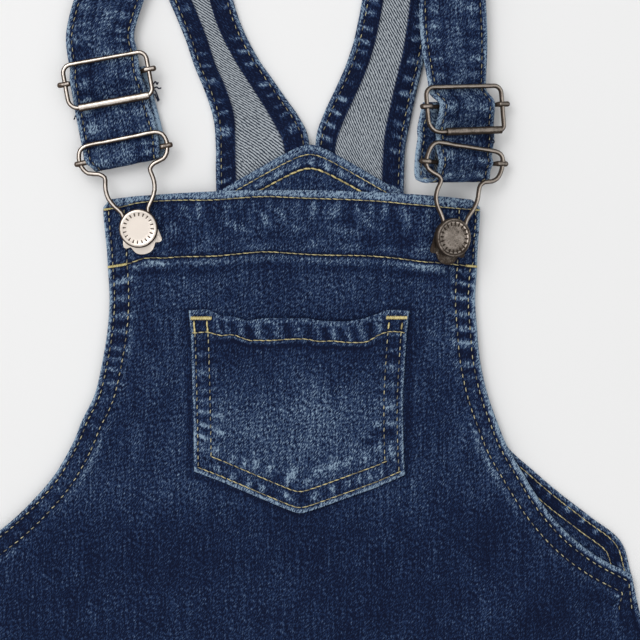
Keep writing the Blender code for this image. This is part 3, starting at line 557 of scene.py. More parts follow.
pocket = {
    "armhole": (
        (-45.5, 51.3, 52.7, 52.1, 0.0), (-44.5, 61.8, 51.6, 62.0, 0.0), (-44.4, 63.0, 51.5, 63.2, 0.0),
        (-43.6, 91.0, 49.9, 91.0, 0.0), (-43.2, 110.0, 50.1, 111.0, 10.0),
        (-43.0, 123.2, 50.8, 124.7, 17.6),
    ),
    "seam": (),
    "sharpness": 0.05,
    "spacing": 0.8,
    "offsets": (
        0.0, 0.12, 0.35, 0.7, 1.1, 1.6, 2.2, 3.0, 4.0, 5.0, 6.0, 7.0, 7.6, 8.2, 9.0, 10.0, 12.0,
    ),
    "columns": 84,
    "rim": 0.9,
    # How much lower than the top row the mouth's edge lies: x and drop
    "mouth": (
        (-45.6, 0.3), (-40.0, 0.5), (-36.5, 0.9), (-34.5, 2.2), (-31.0, 3.6), (-26.0, 4.1),
        (-22.5, 5.0), (-18.8, 5.9), (-15.0, 5.2), (-11.3, 4.8), (-1.7, 4.7), (7.2, 4.7), (12.0, 5.5),
        (18.8, 5.9), (24.0, 5.9), (29.1, 5.2), (34.6, 3.8), (38.7, 2.3), (42.8, 0.6), (46.0, 0.0),
        (52.7, -0.2),
    ),
    # How far below the mouth's edge its stitch lies: x and distance
    "mouthLine": (
        (-45.6, 10.3), (-36.0, 9.9), (-30.0, 9.0), (-26.0, 8.2), (-22.0, 8.4), (-17.5, 9.2),
        (-11.0, 10.2), (-1.7, 9.6), (6.5, 9.4), (12.0, 9.6), (18.8, 8.9), (27.5, 10.1), (34.0, 11.2),
        (38.7, 9.8), (43.5, 9.6), (52.7, 9.8),
    ),
    "leftStitches": (1.9, 7.7),
    "rightStitches": (2.6, 8.5),
    "footStitches": (2.2, 8.6),
    "tackWidth": 1.7,
    "cutFrom": 1500.0,
    # Small creases at its sides and foot, as for the band
    "creases": (
        (-39.0, 96.7, 2.2, 0.8, 0.0, 0.8), (-38.7, 99.8, 2.0, 0.8, 0.0, -0.6),
        (-38.0, 102.9, 2.4, 0.8, -15.0, 0.8), (-37.6, 105.3, 2.2, 0.8, -15.0, -0.5),
        (-38.7, 108.0, 2.2, 1.0, -25.0, 0.7), (-39.0, 113.5, 2.0, 3.0, 0.0, 0.3),
        (-32.5, 98.4, 2.4, 0.9, -10.0, 0.7), (-31.5, 105.6, 2.4, 1.1, -30.0, 0.7),
        (-33.2, 114.2, 2.6, 1.6, 50.0, 0.5), (-26.0, 118.3, 1.6, 1.0, 60.0, 0.5),
        (-20.9, 120.3, 2.0, 1.0, 60.0, 0.6), (-15.4, 120.0, 2.0, 1.0, 60.0, 0.6),
        (-9.2, 121.7, 2.0, 1.0, 60.0, 0.6), (0.3, 125.1, 3.4, 1.3, 55.0, 0.9),
        (-5.8, 126.5, 1.5, 1.4, 0.0, -0.6), (7.2, 127.9, 1.8, 1.2, 60.0, 0.6),
        (12.0, 123.1, 2.4, 1.6, 40.0, 0.5), (18.8, 121.0, 2.6, 1.3, 20.0, 0.6),
        (25.0, 119.0, 2.2, 1.2, 40.0, 0.6), (32.5, 116.9, 2.2, 1.5, 60.0, 0.4),
        (39.3, 112.1, 2.4, 1.2, 75.0, 0.7), (35.2, 110.1, 3.2, 1.1, 0.0, -0.8),
        (38.6, 106.3, 2.6, 1.0, 0.0, -0.6), (38.6, 102.2, 2.0, 0.8, 0.0, 0.7),
        (-33.2, 121.7, 3.0, 1.4, -25.0, 0.4), (-26.0, 125.5, 1.5, 0.8, 70.0, 0.8),
        (-22.2, 126.5, 1.5, 0.9, 70.0, -0.6), (-18.5, 128.9, 1.6, 0.9, 80.0, 0.8),
        (-15.7, 129.9, 1.5, 0.9, 80.0, -0.6), (-12.7, 130.6, 1.6, 0.9, 80.0, 0.8),
        (-7.9, 132.6, 2.2, 1.2, -20.0, -0.6), (-1.7, 134.0, 2.6, 0.9, -40.0, 0.8),
        (-2.4, 136.7, 1.8, 0.7, -30.0, -0.5), (4.4, 135.4, 1.4, 1.2, 0.0, -0.5),
        (10.6, 134.0, 1.8, 1.1, 60.0, 0.7), (15.4, 132.6, 1.5, 0.9, 80.0, -0.5),
        (18.5, 130.9, 1.5, 0.8, 80.0, 0.8), (21.5, 129.9, 1.5, 0.8, 80.0, -0.5),
        (25.6, 128.5, 1.4, 0.8, 80.0, 0.7), (30.4, 126.5, 1.4, 0.8, 80.0, 0.7),
        (34.9, 125.1, 1.4, 0.9, -60.0, 0.7), (40.0, 123.7, 1.6, 0.9, 70.0, 0.6),
        (44.4, 94.7, 2.0, 0.8, 10.0, 0.8), (44.4, 97.8, 2.0, 0.8, 0.0, -0.6),
        (44.8, 101.9, 2.0, 0.8, -10.0, 0.8), (44.1, 106.0, 2.0, 2.0, 0.0, -0.8),
        (45.1, 114.9, 3.0, 1.0, -70.0, 0.6),
    ),
}


def frontRelief(grid):
    # Height over the plain wall, and wear with painted shade, from the hems, their puckers and the stitch
    # lines
    x, depth, side, top, along = (grid[key] for key in ("x", "depth", "side", "top", "along"))
    onRight = grid["onRight"]
    inArm = ease(12.0, -4.0, np.arange(x.shape[0])[:, None] - grid["hemmed"]) * np.ones_like(x)
    low = top - byX(front["footDrop"], x)
    high = top - byX(front["topDrop"], x)
    worn = byX(front["footWorn"], x)
    inBand = 1.0 - ease(26.6, 28.0, low)
    sideFirst, sideLast = (np.where(onRight, right, left)
                           for left, right in zip(front["leftStitches"], front["rightStitches"]))
    sideFirst = sideFirst - 1.2 * inBand * onRight
    unevenness = 0.16 * cloudy(x / 9.0, depth / 7.0, 41) + 0.09 * cloudy(x / 3.6, depth / 4.4, 42)
    fan = creases(front["bandCreases"], x, depth) * inBand * ease(2.8, 4.0, high)
    # Puckers of the armhole hems, the top edge and the cloth under the band
    hemZone = ease(0.6, 2.2, side) * (1.0 - ease(8.0, 13.5, side)) * inArm
    hemZone = hemZone * (1.0 - 0.7 * ease(62.0, 96.0, depth))
    ripple = pucker(along + onRight * 37.0, side, 6.3, 11) * hemZone * ease(26.0, 32.0, low)
    topZone = ease(2.8, 4.4, high) * (1.0 - ease(6.0, 13.0, high)) * 0.6
    topRipple = pucker(x + 400.0, top, 6.6, 23) * topZone
    footRipple = pucker(x + 600.0, top, 9.6, 31) * bell(low, 30.0, 3.0) * 0.6
    ridge = bell(low, 29.7, 1.5) * (0.45 + 0.55 * worn)
    # Doubled cloth is raised, and stitch lines sink in
    relief = np.maximum(front["band"] * inBand, 0.42 * (1.0 - ease(8.6, 10.6, side)) * inArm)
    relief += 0.24 * ripple + 0.14 * topRipple + 0.10 * footRipple + 0.42 * ridge
    relief += (unevenness + 0.22 * fan) * ease(0.0, 3.0, np.minimum(side, top))
    relief -= (0.20 * bell(side, sideFirst, 0.6) + 0.22 * bell(side, sideLast, 0.6)) * inArm
    relief -= 0.24 * bell(high, front["bandStitch"], 0.6) + 0.26 * bell(low, front["bandFoot"], 0.65)
    # Pale rims at the armholes, the right one rolled over low down, and at the top edge
    rolled = (1.0 - ease(1.5, 2.5, side)) * inArm * onRight * ease(70.0, 100.0, depth)
    rim = np.maximum(bell(side, 0.2, 1.35) * inArm, 0.78 * rolled)
    rim = rim * patchy(along / 3.0, 0.20, 51) * (0.85 + 0.25 * onRight)
    topRim = (1.0 - ease(1.6, 2.8, high)) * patchy(x / 4.0, 0.18, 52)
    topRim = topRim * (0.92 + 0.16 * np.sin((x + 0.5 * top) * 2 * pi / 1.9))
    wearAndShade = 0.98 * rim + 0.78 * topRim
    # Creases and puckers rubbed pale on their crests, with painted shade in their troughs
    wearAndShade += 0.80 * np.maximum(ripple, 0.0) ** 1.4 - 0.38 * np.maximum(-ripple, 0.0)
    wearAndShade += 0.30 * topRipple + rubbedAndShaded(fan, 0.46, 0.26) + rubbedAndShaded(footRipple, 0.16, 0.0)
    wearAndShade += 0.46 * worn * ridge
    wearAndShade += 0.38 * bell(side, sideLast + 2.2, 1.4) * inArm * patchy(along / 9.0, 0.5, 57)
    # Painted shade in the stitch lines' grooves and just below the band's ridge, and darker low on the
    # skirt
    wearAndShade -= (0.42 * bell(side, sideFirst, 0.62) + 0.36 * bell(side, sideLast, 0.58)) * inArm
    wearAndShade -= 0.40 * bell(high, front["bandStitch"] + 0.3, 0.7)
    wearAndShade -= 0.55 * bell(low, front["bandFoot"] + 0.1, 0.8)
    wearAndShade -= 0.22 * bell(low, 33.4, 1.7) * (0.4 + 0.6 * worn) + 0.13 * ease(126.0, 150.0, depth)
    wearAndShade += 0.05 * cloudy(x / 22.0, depth / 26.0, 54) + 0.04 * cloudy(x / 7.0, depth / 9.0, 55)
    # Painted shadow on the cloth right beside the pocket: how far outside its sides, mouth and pointed foot
    outside = np.abs(x - 3.6) - 49.0 + 0.022 * (depth - 51.0)
    outside = np.maximum(outside, 51.5 + byX(pocket["mouth"], x) - depth)
    outside = np.maximum(outside, 0.94 * (depth - 141.9 + 0.375 * np.abs(x - 3.1)))
    return relief, wearAndShade - 0.24 * bell(outside, 0.6, 1.5)


def buildFront(grid):
    # The corners are rounded and the cloth bulges a little below them
    top, side = grid["top"], grid["side"]
    corner = (1.0 - ease(0.0, 3.4, top)) * (1.0 - ease(0.0, 3.4, side))
    bulge = ease(0.0, 4.0, top) * (1.0 - ease(5.0, 26.0, top)) * (1.0 - ease(0.0, 14.0, side))
    grid["x"] = grid["x"] + np.sign(grid["x"]) * (0.9 * bulge - 1.1 * corner)
    grid["depth"] = grid["depth"] + 0.9 * corner
    relief, wearAndShade = frontRelief(grid)
    floor = frontFloor(grid["x"], grid["depth"])
    return panelWall("front", front, grid, floor, relief, wearAndShade, (grid["x"], -grid["depth"]))


frontPlan = panelGrid(front)
frontPiece = buildFront(frontPlan)
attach(frontPiece, "root")
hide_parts("front_panel")
print("front panel made:", len(frontPiece.data.polygons), "faces")

# Back panel: lies flat with its wrong side up, so that its turned armhole hems show

back = {
    "armhole": (
        (-33.5, -1.2, 50.5, -0.8, -21.6), (-35.5, 12.0, 52.5, 12.0, -16.0),
        (-39.0, 30.0, 56.0, 30.0, -8.0), (-49.0, 60.0, 66.0, 60.0, -2.0),
        (-62.0, 85.0, 79.0, 85.0, 0.0), (-78.0, 107.0, 96.1, 111.8, 0.0),
        (-90.0, 122.0, 108.5, 123.4, 0.0), (-103.0, 136.0, 120.5, 133.6, 0.0),
        (-121.0, 148.5, 133.5, 143.6, 0.0), (-139.0, 157.5, 147.6, 155.2, 0.0),
        (-152.0, 162.5, 152.0, 169.5, 0.0),
    ),
    "seam": front["seam"],
    "sharpness": 0.14,
    "spacing": 1.3,
    "seamSpacing": 3.5,
    "offsets": (
        0.0, 0.15, 0.4, 0.8, 1.3, 1.9, 2.6, 3.4, 4.4, 5.6, 6.8, 7.8, 8.6, 9.0, 9.4, 10.4, 12.0,
    ),
    "columns": 70,
    "rim": 0.8,
    "hemStitches": (2.6, 7.9),
    "sewnFrom": 60.0,  # the depth at which its hem stitches begin, under the front
    "cutFrom": 500.0,  # where on the denim it is cut, so that no two pieces share a patch
}


def buildBack(grid):
    x, depth, side, along = grid["x"], grid["depth"], grid["side"], grid["along"]
    first, last = back["hemStitches"]
    hem = 1.0 - ease(8.9, 9.4, side)
    ripple = pucker(along + 11.0 * grid["onRight"], side, 8.2, 61) * ease(0.8, 2.4, side) * hem
    relief = 0.14 * ripple + 0.06 * cloudy(x / 9.0, depth / 9.0, 62)
    relief -= 0.16 * bell(side, first, 0.6) + 0.16 * bell(side, last, 0.6)
    wearAndShade = 1.4 * np.maximum(ripple - 0.2, 0.0) * (1.0 - ease(4.0, 6.0, side)) - 0.26 * hem
    wearAndShade += 0.66 * bell(side, 0.4, 1.3) + 0.16 * bell(side, 8.6, 0.5)  # the hem's two edges
    # Painted shade in the stitch lines
    wearAndShade -= 0.26 * bell(side, first, 0.6) + 0.2 * bell(side, last, 0.5)
    wearAndShade += 0.05 * cloudy(x / 22.0, depth / 26.0, 63)
    # Its wrong side shows inside the hems; the low right corner keeps the dark right-side colour as painted
    # shade
    shaded = 1.0 - ease(96.0, 112.0, depth) * grid["onRight"]
    marks = {"inside": (1.0 - hem) * shaded, "insideUnder": np.zeros_like(x)}
    return panelWall("back", back, grid, 0.0, relief, wearAndShade, (back["cutFrom"] - x, -depth), marks)


backPlan = panelGrid(back)
backPiece = buildBack(backPlan)
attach(backPiece, "root")
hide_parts("back_panel")
print("back panel made:", len(backPiece.data.polygons), "faces")


# Facing inside the back bib, which holds the strap ends

facing = {
    "armhole": (
        (-33.2, -1.0, 50.2, -0.6, -21.6), (-34.0, 5.0, 51.0, 5.0, -13.0),
        (-35.5, 17.0, 52.5, 17.0, -7.0),
    ),
    "seam": (),
    "sharpness": 0.14,
    "spacing": 0.35,
    "offsets": (0.0, 0.12, 0.35, 0.7, 1.1, 1.7, 2.4),
    "columns": 110,
    "rim": 0.9,
    "stitches": (4.4, 10.6),
    "floor": 3.8,  # over the strap ends, and at its foot
    "foot": 1.5,
    "cutFrom": 1000.0,
}


def buildFacing(grid):
    x, depth, top = grid["x"], grid["depth"], grid["top"]
    first, second = facing["stitches"]
    floor = facing["floor"] - (facing["floor"] - facing["foot"]) * ease(4.0, 15.0, depth)
    ridge = bell(top, 7.7, 1.5)
    ripple = pucker(x + 90.0, top, 7.0, 71) * ease(4.5, 6.0, top) * (1.0 - ease(8.5, 10.5, top))
    relief = 0.34 * ridge + 0.14 * ripple + 0.15 * bell(top, 1.6, 1.4)
    relief += 0.07 * cloudy(x / 6.0, depth / 5.0, 72)
    relief -= 0.22 * bell(top, first, 0.6) + 0.30 * bell(top, second, 0.8)
    # Pale rubbed edge and ridge, puckers pale on their crests with painted shade in their troughs; painted
    # shade in the stitch lines and below the ridge
    wearAndShade = 0.56 * bell(top, 1.4, 2.2) * patchy(x / 4.0, 0.1, 73) + 0.36 * ridge + 0.30 * ripple
    wearAndShade -= 0.16 * bell(top, first + 0.3, 0.5) + 0.36 * bell(top, second - 0.5, 1.0)
    wearAndShade += 0.03 + 0.05 * cloudy(x / 7.0, depth / 7.0, 74)
    return panelWall("facing", facing, grid, floor, relief, wearAndShade, (facing["cutFrom"] + x, -depth))


facingPlan = panelGrid(facing)
facingPiece = buildFacing(facingPlan)
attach(facingPiece, "root")
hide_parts("back_facing")
print("facing made:", len(facingPiece.data.polygons), "faces")


# Patch pocket

def pocketGrid():
    grid = panelGrid(pocket)
    drop = byX(pocket["mouth"], grid["x"]) * (1.0 - ease(6.0, 34.0, grid["top"]))
    grid["depth"] = grid["depth"] + drop
    grid["bottom"] = grid["bottom"] * 0.90  # along the sloping sides, so less straight down
    return grid


def buildPocket(grid):
    x, depth, side, top, along = (grid[key] for key in ("x", "depth", "side", "top", "along"))
    bottom, onRight = grid["bottom"], grid["onRight"]
    inner = ease(9.0, 12.0, side)
    gape = 1.3 * (1.0 - ease(0.0, 14.0, top)) * ease(9.0, 22.0, side)
    floor = frontFloor(x, depth) + cloth + 0.2 + gape
    sewn = top - byX(pocket["mouthLine"], x)
    band = 1.0 - ease(0.5, 1.9, sewn)
    # Stitch lines sink in: the sides' two, then the foot's two
    sides = [np.where(onRight, right, left)
             for left, right in zip(pocket["leftStitches"], pocket["rightStitches"])]
    below = ease(2.0, 4.0, top)
    dips = 0.2 * bell(sewn, 0.0, 0.55) + 0.18 * below * sum(bell(side, line, 0.5) for line in sides)
    dips += 0.16 * sum(bell(bottom, line, 0.5) for line in pocket["footStitches"])
    # Puckers of the mouth's band and of the side hems, and the small creases
    bandZone = ease(1.6, 3.2, top) * (1.0 - ease(-1.2, -0.2, sewn)) * inner
    bandRipple = pucker(x - 0.35 * top + 300.0, top, 7.3, 81) * bandZone
    sideZone = ease(1.6, 2.6, side) * (1.0 - ease(8.5, 13.0, side))
    sideZone = sideZone * ease(14.0, 20.0, top) * (1.0 - ease(90.0, 97.0, depth))
    sideRipple = pucker(along + 23.0 * onRight, side, 7.0, 82) * sideZone
    fan = creases(pocket["creases"], x, depth) * ease(1.4, 2.4, np.minimum(side, bottom))
    ripple = bandRipple * 1.1 + sideRipple * 0.9 + fan * 1.9
    relief = 0.45 * band + 0.24 * ripple + 0.15 * bell(sewn, 1.2, 1.0) - dips
    relief += 0.16 * cloudy(x / 9.0, depth / 8.0, 84) * ease(0.0, 3.0, np.minimum(side, top))
    # Faded in the middle and towards the foot, and darker under the mouth
    wearAndShade = 0.10 * np.exp(-(((x - 4.0) / 30.0) ** 2 + ((depth - 100.0) / 22.0) ** 2))
    wearAndShade += 0.13 * ease(80.0, 100.0, depth) - 0.10 * (1.0 - ease(14.0, 34.0, top)) * (1.0 - band)
    # Creases and puckers pale on their crests, with painted shade in their troughs
    wearAndShade += rubbedAndShaded(ripple, 0.46, 0.24) - 0.04 * band + 0.07 * cloudy(x / 9.0, depth / 8.0, 88)
    # Pale rims at the mouth, under its band, at the sides and at the foot
    mouthRim = (1.0 - ease(1.5, 3.0, top)) * patchy(x / 3.0, 0.2, 85)
    wearAndShade += 0.42 * mouthRim * (0.92 + 0.16 * np.sin((x + 0.6 * top) * 2 * pi / 1.8))
    wearAndShade += 0.38 * bell(sewn, 1.3, 0.8) * patchy(x / 8.0, 0.25, 86)
    wearAndShade += 0.68 * bell(side, 0.3, 0.95) * patchy(along / 4.0, 0.25, 87) + 0.58 * bell(bottom, 0.4, 1.1)
    # Painted shade in the stitch lines and just below the band, and darker inside the foot's hem
    wearAndShade -= 0.26 * bell(sewn, 3.2, 1.2) * inner + 0.3 * bell(sewn, 0.0, 0.5)
    wearAndShade -= 0.10 * (1.0 - ease(7.6, 8.8, bottom)) * ease(1.6, 3.0, bottom)
    wearAndShade -= 0.34 * below * sum(bell(side, line, 0.55) for line in sides)
    wearAndShade -= 0.28 * sum(bell(bottom, line, 0.5) for line in pocket["footStitches"])
    return panelWall("pocket_cloth", pocket, grid, floor, relief, wearAndShade, (pocket["cutFrom"] + x, -depth))


pocketPlan = pocketGrid()
pocketPiece = buildPocket(pocketPlan)
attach(pocketPiece, "root")
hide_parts("pocket")
print("pocket made:", len(pocketPiece.data.polygons), "faces")


# Straps: each is one length from under the facing, over the shoulder and round the slider's bar

strap = {
    "width": 30.0,
    "core": 1.3,  # thickness between the hems, and at them
    "edge": 2.0,
    "fold": 3.0,  # radius at the shoulder, and where that lies
    "shoulder": 244.8,
    "shoulderX": 65.5,
    "lean": 6.0,  # turn of the shoulder fold
    "stitch": 2.7,  # from the edge
    "hems": {"left": (9.7, 10.6), "right": (9.6, 10.2)},  # width of the inside's left and right hem
    "fineness": 5,
    "lowest": 0.02,  # least height of a strap's points over the floor
    "marginal": 9.5,  # columns closer to the edge keep their distance from it
    # Columns across half the strap, by their distance from the edge
    "places": (
        0.0, 0.12, 0.35, 0.7, 1.2, 1.8, 2.4, 3.0, 3.8, 4.8, 5.9, 7.0, 7.9, 8.4, 8.7, 9.2, 9.8, 10.3,
        10.7, 11.2, 12.5, 13.8,
    ),
    "cutFrom": {"left": 2000.0, "right": 2100.0},  # where on the cloth each was cut
    # From the sewn end up to the shoulder: outer x and depth, inner x and depth, and height
    "rising": {
        "left": (
            (-33.2, 2.2, 8.4, -10.0, 1.5), (-33.5, -11.2, 7.6, -26.2, 1.5), (-33.5, -20.1, 3.2, -35.3, 0.3),
            (-34.4, -32.6, -1.2, -41.6, 0.0), (-38.4, -46.0, -8.4, -51.9, 0.0),
            (-42.9, -56.8, -14.3, -60.3, 0.0), (-47.8, -71.1, -22.3, -76.0, 0.0),
            (-60.5, -99.0, -33.0, -109.0, 0.0),
        ),
        "right": (
            (50.3, 2.2, 10.8, -10.0, 1.5), (50.5, -10.3, 11.3, -26.2, 1.5), (51.0, -20.1, 14.3, -35.3, 0.3),
            (53.6, -34.4, 19.2, -46.0, 0.0), (56.3, -46.9, 23.7, -55.9, 0.0),
            (59.5, -60.3, 27.7, -67.5, 0.0), (61.7, -73.8, 30.4, -79.5, 0.0),
            (66.5, -104.0, 37.0, -111.0, 0.0),
        ),
    },
    # From the shoulder down to the slider: centre x and depth, turn, roll, height of the face and width
    "falling": {
        "left": ((-71.0, -112.0, -9.0, 0.0, 5.8, 30.0), (-80.5, -88.0, -9.0, 0.0, 5.0, 30.2),
                 (-84.9, -71.0, 0.0, 0.0, 4.8, 30.4)),
        "right": ((69.0, -112.0, -2.0, 0.0, 5.9, 30.0), (71.5, -90.0, 0.0, 0.0, 6.0, 29.8),
                  (72.4, -72.4, 0.0, 3.0, 6.6, 30.0)),
    },
    # Turn of the hook's loose bar, turn of the strap's fold and how far the fold hangs below the bar
    "loops": {"left": (0.5, 0.5, 4.8), "right": (8.5, 11.0, 8.4)},
    # How far sideways the strap lies and half its width: slider rail, bar and roller, hook rail and bar,
    # the fold, and the tail that comes back up behind
    "holds": {
        "left": (
            (-0.3, 15.5), (-0.7, 15.8), (-0.3, 16.6), (-0.5, 17.2), (-0.5, 16.8), (0.9, 15.2), (3.0, 15.8),
        ),
        "right": (
            (-1.8, 14.4), (0.9, 13.8), (0.4, 14.6), (0.5, 14.3), (1.0, 13.6), (-3.2, 15.0), (-7.0, 15.0),
        ),
    },
    # Where the right strap's long fold leaves the hook's bar, and how far it drops there and lower down
    "longFold": (4.3, 0.35, 0.75),
}
# Thickness of the hardware's wire, bar and roller, and how far the bar lies below the wire
wire = {"thick": 1.7, "bar": 1.8, "roller": 2.7, "barDrop": 2.05}
# Places of their rails by height and width, and their seats: centre x and depth, height, turn and roll
sliderSize = {
    "top": 8.3,
    "foot": -11.4,
    "half": 18.8,
    "seats": {"left": (-81.6, -51.9, 6.5, 10.3, 0.0), "right": (76.8, -38.6, 12.5, 4.7, 24.0)},
}
hookSize = {
    "top": 7.1,
    "seats": {"left": (-74.1, -17.4, 6.8, 11.3, 0.0), "right": (76.2, -13.4, 12.5, -8.0, 25.0)},
}


def seatMatrix(seat):
    x, depth, height, turn, roll = seat
    spot = Matrix.Translation(Vector((x, bibTop - depth, height)))
    return spot @ Matrix.Rotation(radians(turn), 4, "Z") @ Matrix.Rotation(radians(roll), 4, "Y")


def seatedSection(seat, along, face, hold):
    matrix = seatMatrix(seat)
    centre = matrix @ Vector((hold[0], along, face))
    return (*centre, *(matrix.to_3x3() @ Vector((1.0, 0.0, 0.0))), hold[1])


def strapSections(side):
    # Centre, cross line and half width of each section, from the sewn end to the end behind the slider
    mirror = 1.0 if side == "right" else -1.0
    sections = []
    for outerX, outerDepth, innerX, innerDepth, floor in strap["rising"][side]:
        inner = Vector((innerX, bibTop - innerDepth, floor))
        outer = Vector((outerX, bibTop - outerDepth, floor))
        across = (outer - inner) * mirror
        sections.append((*((inner + outer) / 2), *across.normalized(), across.length / 2))
    steps = [2] * len(sections)
    lean = radians(strap["lean"]) * mirror
    cross = (cos(lean), -sin(lean), 0.0)
    for angle in (-90, -30, 30, 90):
        reach = strap["fold"] * cos(radians(angle))
        rise = strap["fold"] * (1.0 + sin(radians(angle)))
        centre = (mirror * strap["shoulderX"], strap["shoulder"] - strap["fold"] + reach, rise)
        sections.append((*centre, *cross, strap["width"] / 2))
        steps.append(1)
    steps[-1] = 2
    for x, depth, turn, roll, face, width in strap["falling"][side]:
        turn = radians(turn)
        roll = radians(roll)
        cross = (cos(turn) * cos(roll), sin(turn) * cos(roll), -sin(roll))
        sections.append((x, bibTop - depth, face, *cross, width / 2))
        steps.append(2)
    slider, hook = sliderSize["seats"][side], hookSize["seats"][side]
    belowWire = -wire["thick"] / 2 - gap
    belowRoller = -wire["roller"] / 2 - gap
    overBar = -wire["barDrop"] + wire["bar"] / 2 + gap + strap["edge"]
    underBar = -wire["barDrop"] - wire["bar"] / 2 - gap - strap["edge"]
    atRail, atBar, atRoller, atHookRail, atHookBar, fold, tail = strap["holds"][side]
    for along, face, hold in ((sliderSize["top"] + 2.0, belowWire, atRail),
                              (sliderSize["top"] - 1.5, belowWire, atRail), (1.8, overBar, atBar),
                              (-1.8, overBar, atBar), (sliderSize["foot"] + 2.0, belowRoller, atRoller),
                              (sliderSize["foot"] - 2.0, belowRoller, atRoller)):
        sections.append(seatedSection(slider, along, face, hold))
        steps.append(2)
    barTurn, foldTurn, reach = strap["loops"][side]
    barSeat = (*hook[:3], hook[3] + barTurn, hook[4])
    foldSeat = (*hook[:3], hook[3] + foldTurn, hook[4])
    sections.append(seatedSection(hook, hookSize["top"] + 1.5, belowWire, atHookRail))
    sections.append(seatedSection(hook, hookSize["top"] - 1.5, belowWire, atHookRail))
    sections.append(seatedSection(barSeat, 0.0, overBar + 0.3, atHookBar))
    steps += [2, 2, 2]
    longLoop = reach > 6.0
    upper = belowWire if longLoop else overBar
    lower = belowWire - 2 * strap["edge"] - gap if longLoop else underBar
    bend = (upper - lower) / 2
    straight = reach - bend
    if longLoop:
        leavesBar, dropThere, dropBelow = strap["longFold"]
        for along, drop in ((-leavesBar, dropThere), (-straight, dropBelow)):
            sections.append(seatedSection(foldSeat, along, upper - drop, atHookBar))
            steps.append(1)
    halfSlip = (fold[0] / 2, fold[1])
    pastSlip = ((fold[0] + tail[0]) / 2, fold[1])
    for angle, hold in ((45, halfSlip), (0, fold), (-45, pastSlip)):
        along = -straight - bend * cos(radians(angle))
        face = lower + bend * (1.0 + sin(radians(angle)))
        sections.append(seatedSection(foldSeat, along, face, hold))
        steps.append(1)
    if longLoop:
        sections.append(seatedSection(foldSeat, -straight, lower, tail))
        steps.append(1)
    behind = belowRoller - 2 * strap["edge"] - gap
    sections.append(seatedSection(barSeat, 1.0, underBar, tail))
    sections.append(seatedSection(hook, hookSize["top"] + 1.0, underBar, tail))
    sections.append(seatedSection(slider, sliderSize["foot"] - 1.0, behind, tail))
    sections.append(seatedSection(slider, sliderSize["foot"] + 2.0, behind, tail))
    sections.append(seatedSection(slider, 2.5, underBar, (0.5 * tail[0], tail[1])))
    steps += [2, 2, 1, 2, 1]
    return smoothPath(sections, [count * strap["fineness"] for count in steps])


def strapFrame(side):
    # Centres, cross lines, directions into the cloth, half widths and length along the strap
    sections = strapSections(side)
    centres = sections[:, 0:3].copy()
    centres[:, 2] = np.maximum(centres[:, 2], 0.0)
    across = sections[:, 3:6] / np.linalg.norm(sections[:, 3:6], axis=1)[:, None]
    inward = np.cross(across, np.gradient(centres, axis=0))
    inward = inward / np.linalg.norm(inward, axis=1)[:, None]
    return centres, across, inward, sections[:, 6], arcLength(centres)


def strapRelief(side, place, along, seed):
    # Relief, and wear with painted shade, of a strap's face and inside, from its edge distance and length
    edge, onRight = place["edge"], place["right"]
    leftHem, rightHem = strap["hems"][side]
    wide = leftHem + (rightHem - leftHem) * onRight
    hem = 1.0 - ease(wide - 0.2, wide + 0.2, edge)
    hemRipple = pucker(along + 31.0 * onRight, edge, 7.0, seed)
    hemRipple = hemRipple * ease(1.0, 2.6, edge) * (1.0 - ease(6.6, 8.6, edge))
    faceRipple = pucker(along + 31.0 * onRight, edge, 7.8, seed + 3)
    faceRipple = faceRipple * ease(2.4, 3.8, edge) * (1.0 - 0.85 * ease(6.5, 11.0, edge))
    stitch = bell(edge, strap["stitch"], 0.55)
    lumps = cloudy(along / 8.0, place["across"] / 4.0, seed + 5)
    seamLine = bell(edge, 9.3, 0.9) * patchy(along / 12.0, 0.4, seed + 6, onRight * 9.0)
    rim = (1.0 - ease(1.2, 2.5, edge)) * patchy(along / 3.0, 0.16, seed + 7, onRight * 5.0)
    rim = rim * (0.92 + 0.16 * np.sin((along + 0.8 * edge) * 2 * pi / 1.9))
    middle = np.exp(-((place["across"] - 1.5) / 3.4) ** 2)
    face = {"height": 0.16 * faceRipple + 0.12 * lumps - 0.2 * stitch - 0.14 * seamLine}
    # Face: pale rubbed rim and middle, puckers pale on their crests with painted shade in their troughs,
    # painted shade in the stitch and seam lines
    face["wearAndShade"] = 0.64 * rim + rubbedAndShaded(faceRipple, 0.52, 0.24) + 0.18 * lumps + 0.09 * middle + 0.08
    face["wearAndShade"] -= 0.36 * stitch + 0.24 * seamLine
    inside = {"height": 0.14 * hemRipple - 0.18 * stitch, "hem": hem}
    # Inside: pale rubbed rim and crests, painted shade in the stitch line, and a pale fold edge with a
    # painted shadow just past it
    inside["wearAndShade"] = 0.86 * rim + 1.4 * np.maximum(hemRipple - 0.16, 0.0) - 0.26 * hem - 0.22 * stitch
    inside["wearAndShade"] += 0.10 * bell(edge, wide - 0.3, 0.5) - 0.30 * bell(edge, wide + 0.4, 0.45)
    # Painted light on the tail that comes back up behind the strap, where it lies in the strap's shade
    inside["wearAndShade"] += ease(-50.0, -42.0, along - np.max(along)) * (0.46 + 0.4 * lumps)
    return face, inside


def strapSide(points, inward, depth):
    # One side of the strap, at some depth below its face and never under the floor
    moved = points + inward[:, None, :] * depth[:, :, None]
    moved[:, :, 2] = np.maximum(moved[:, :, 2], strap["lowest"])
    return moved


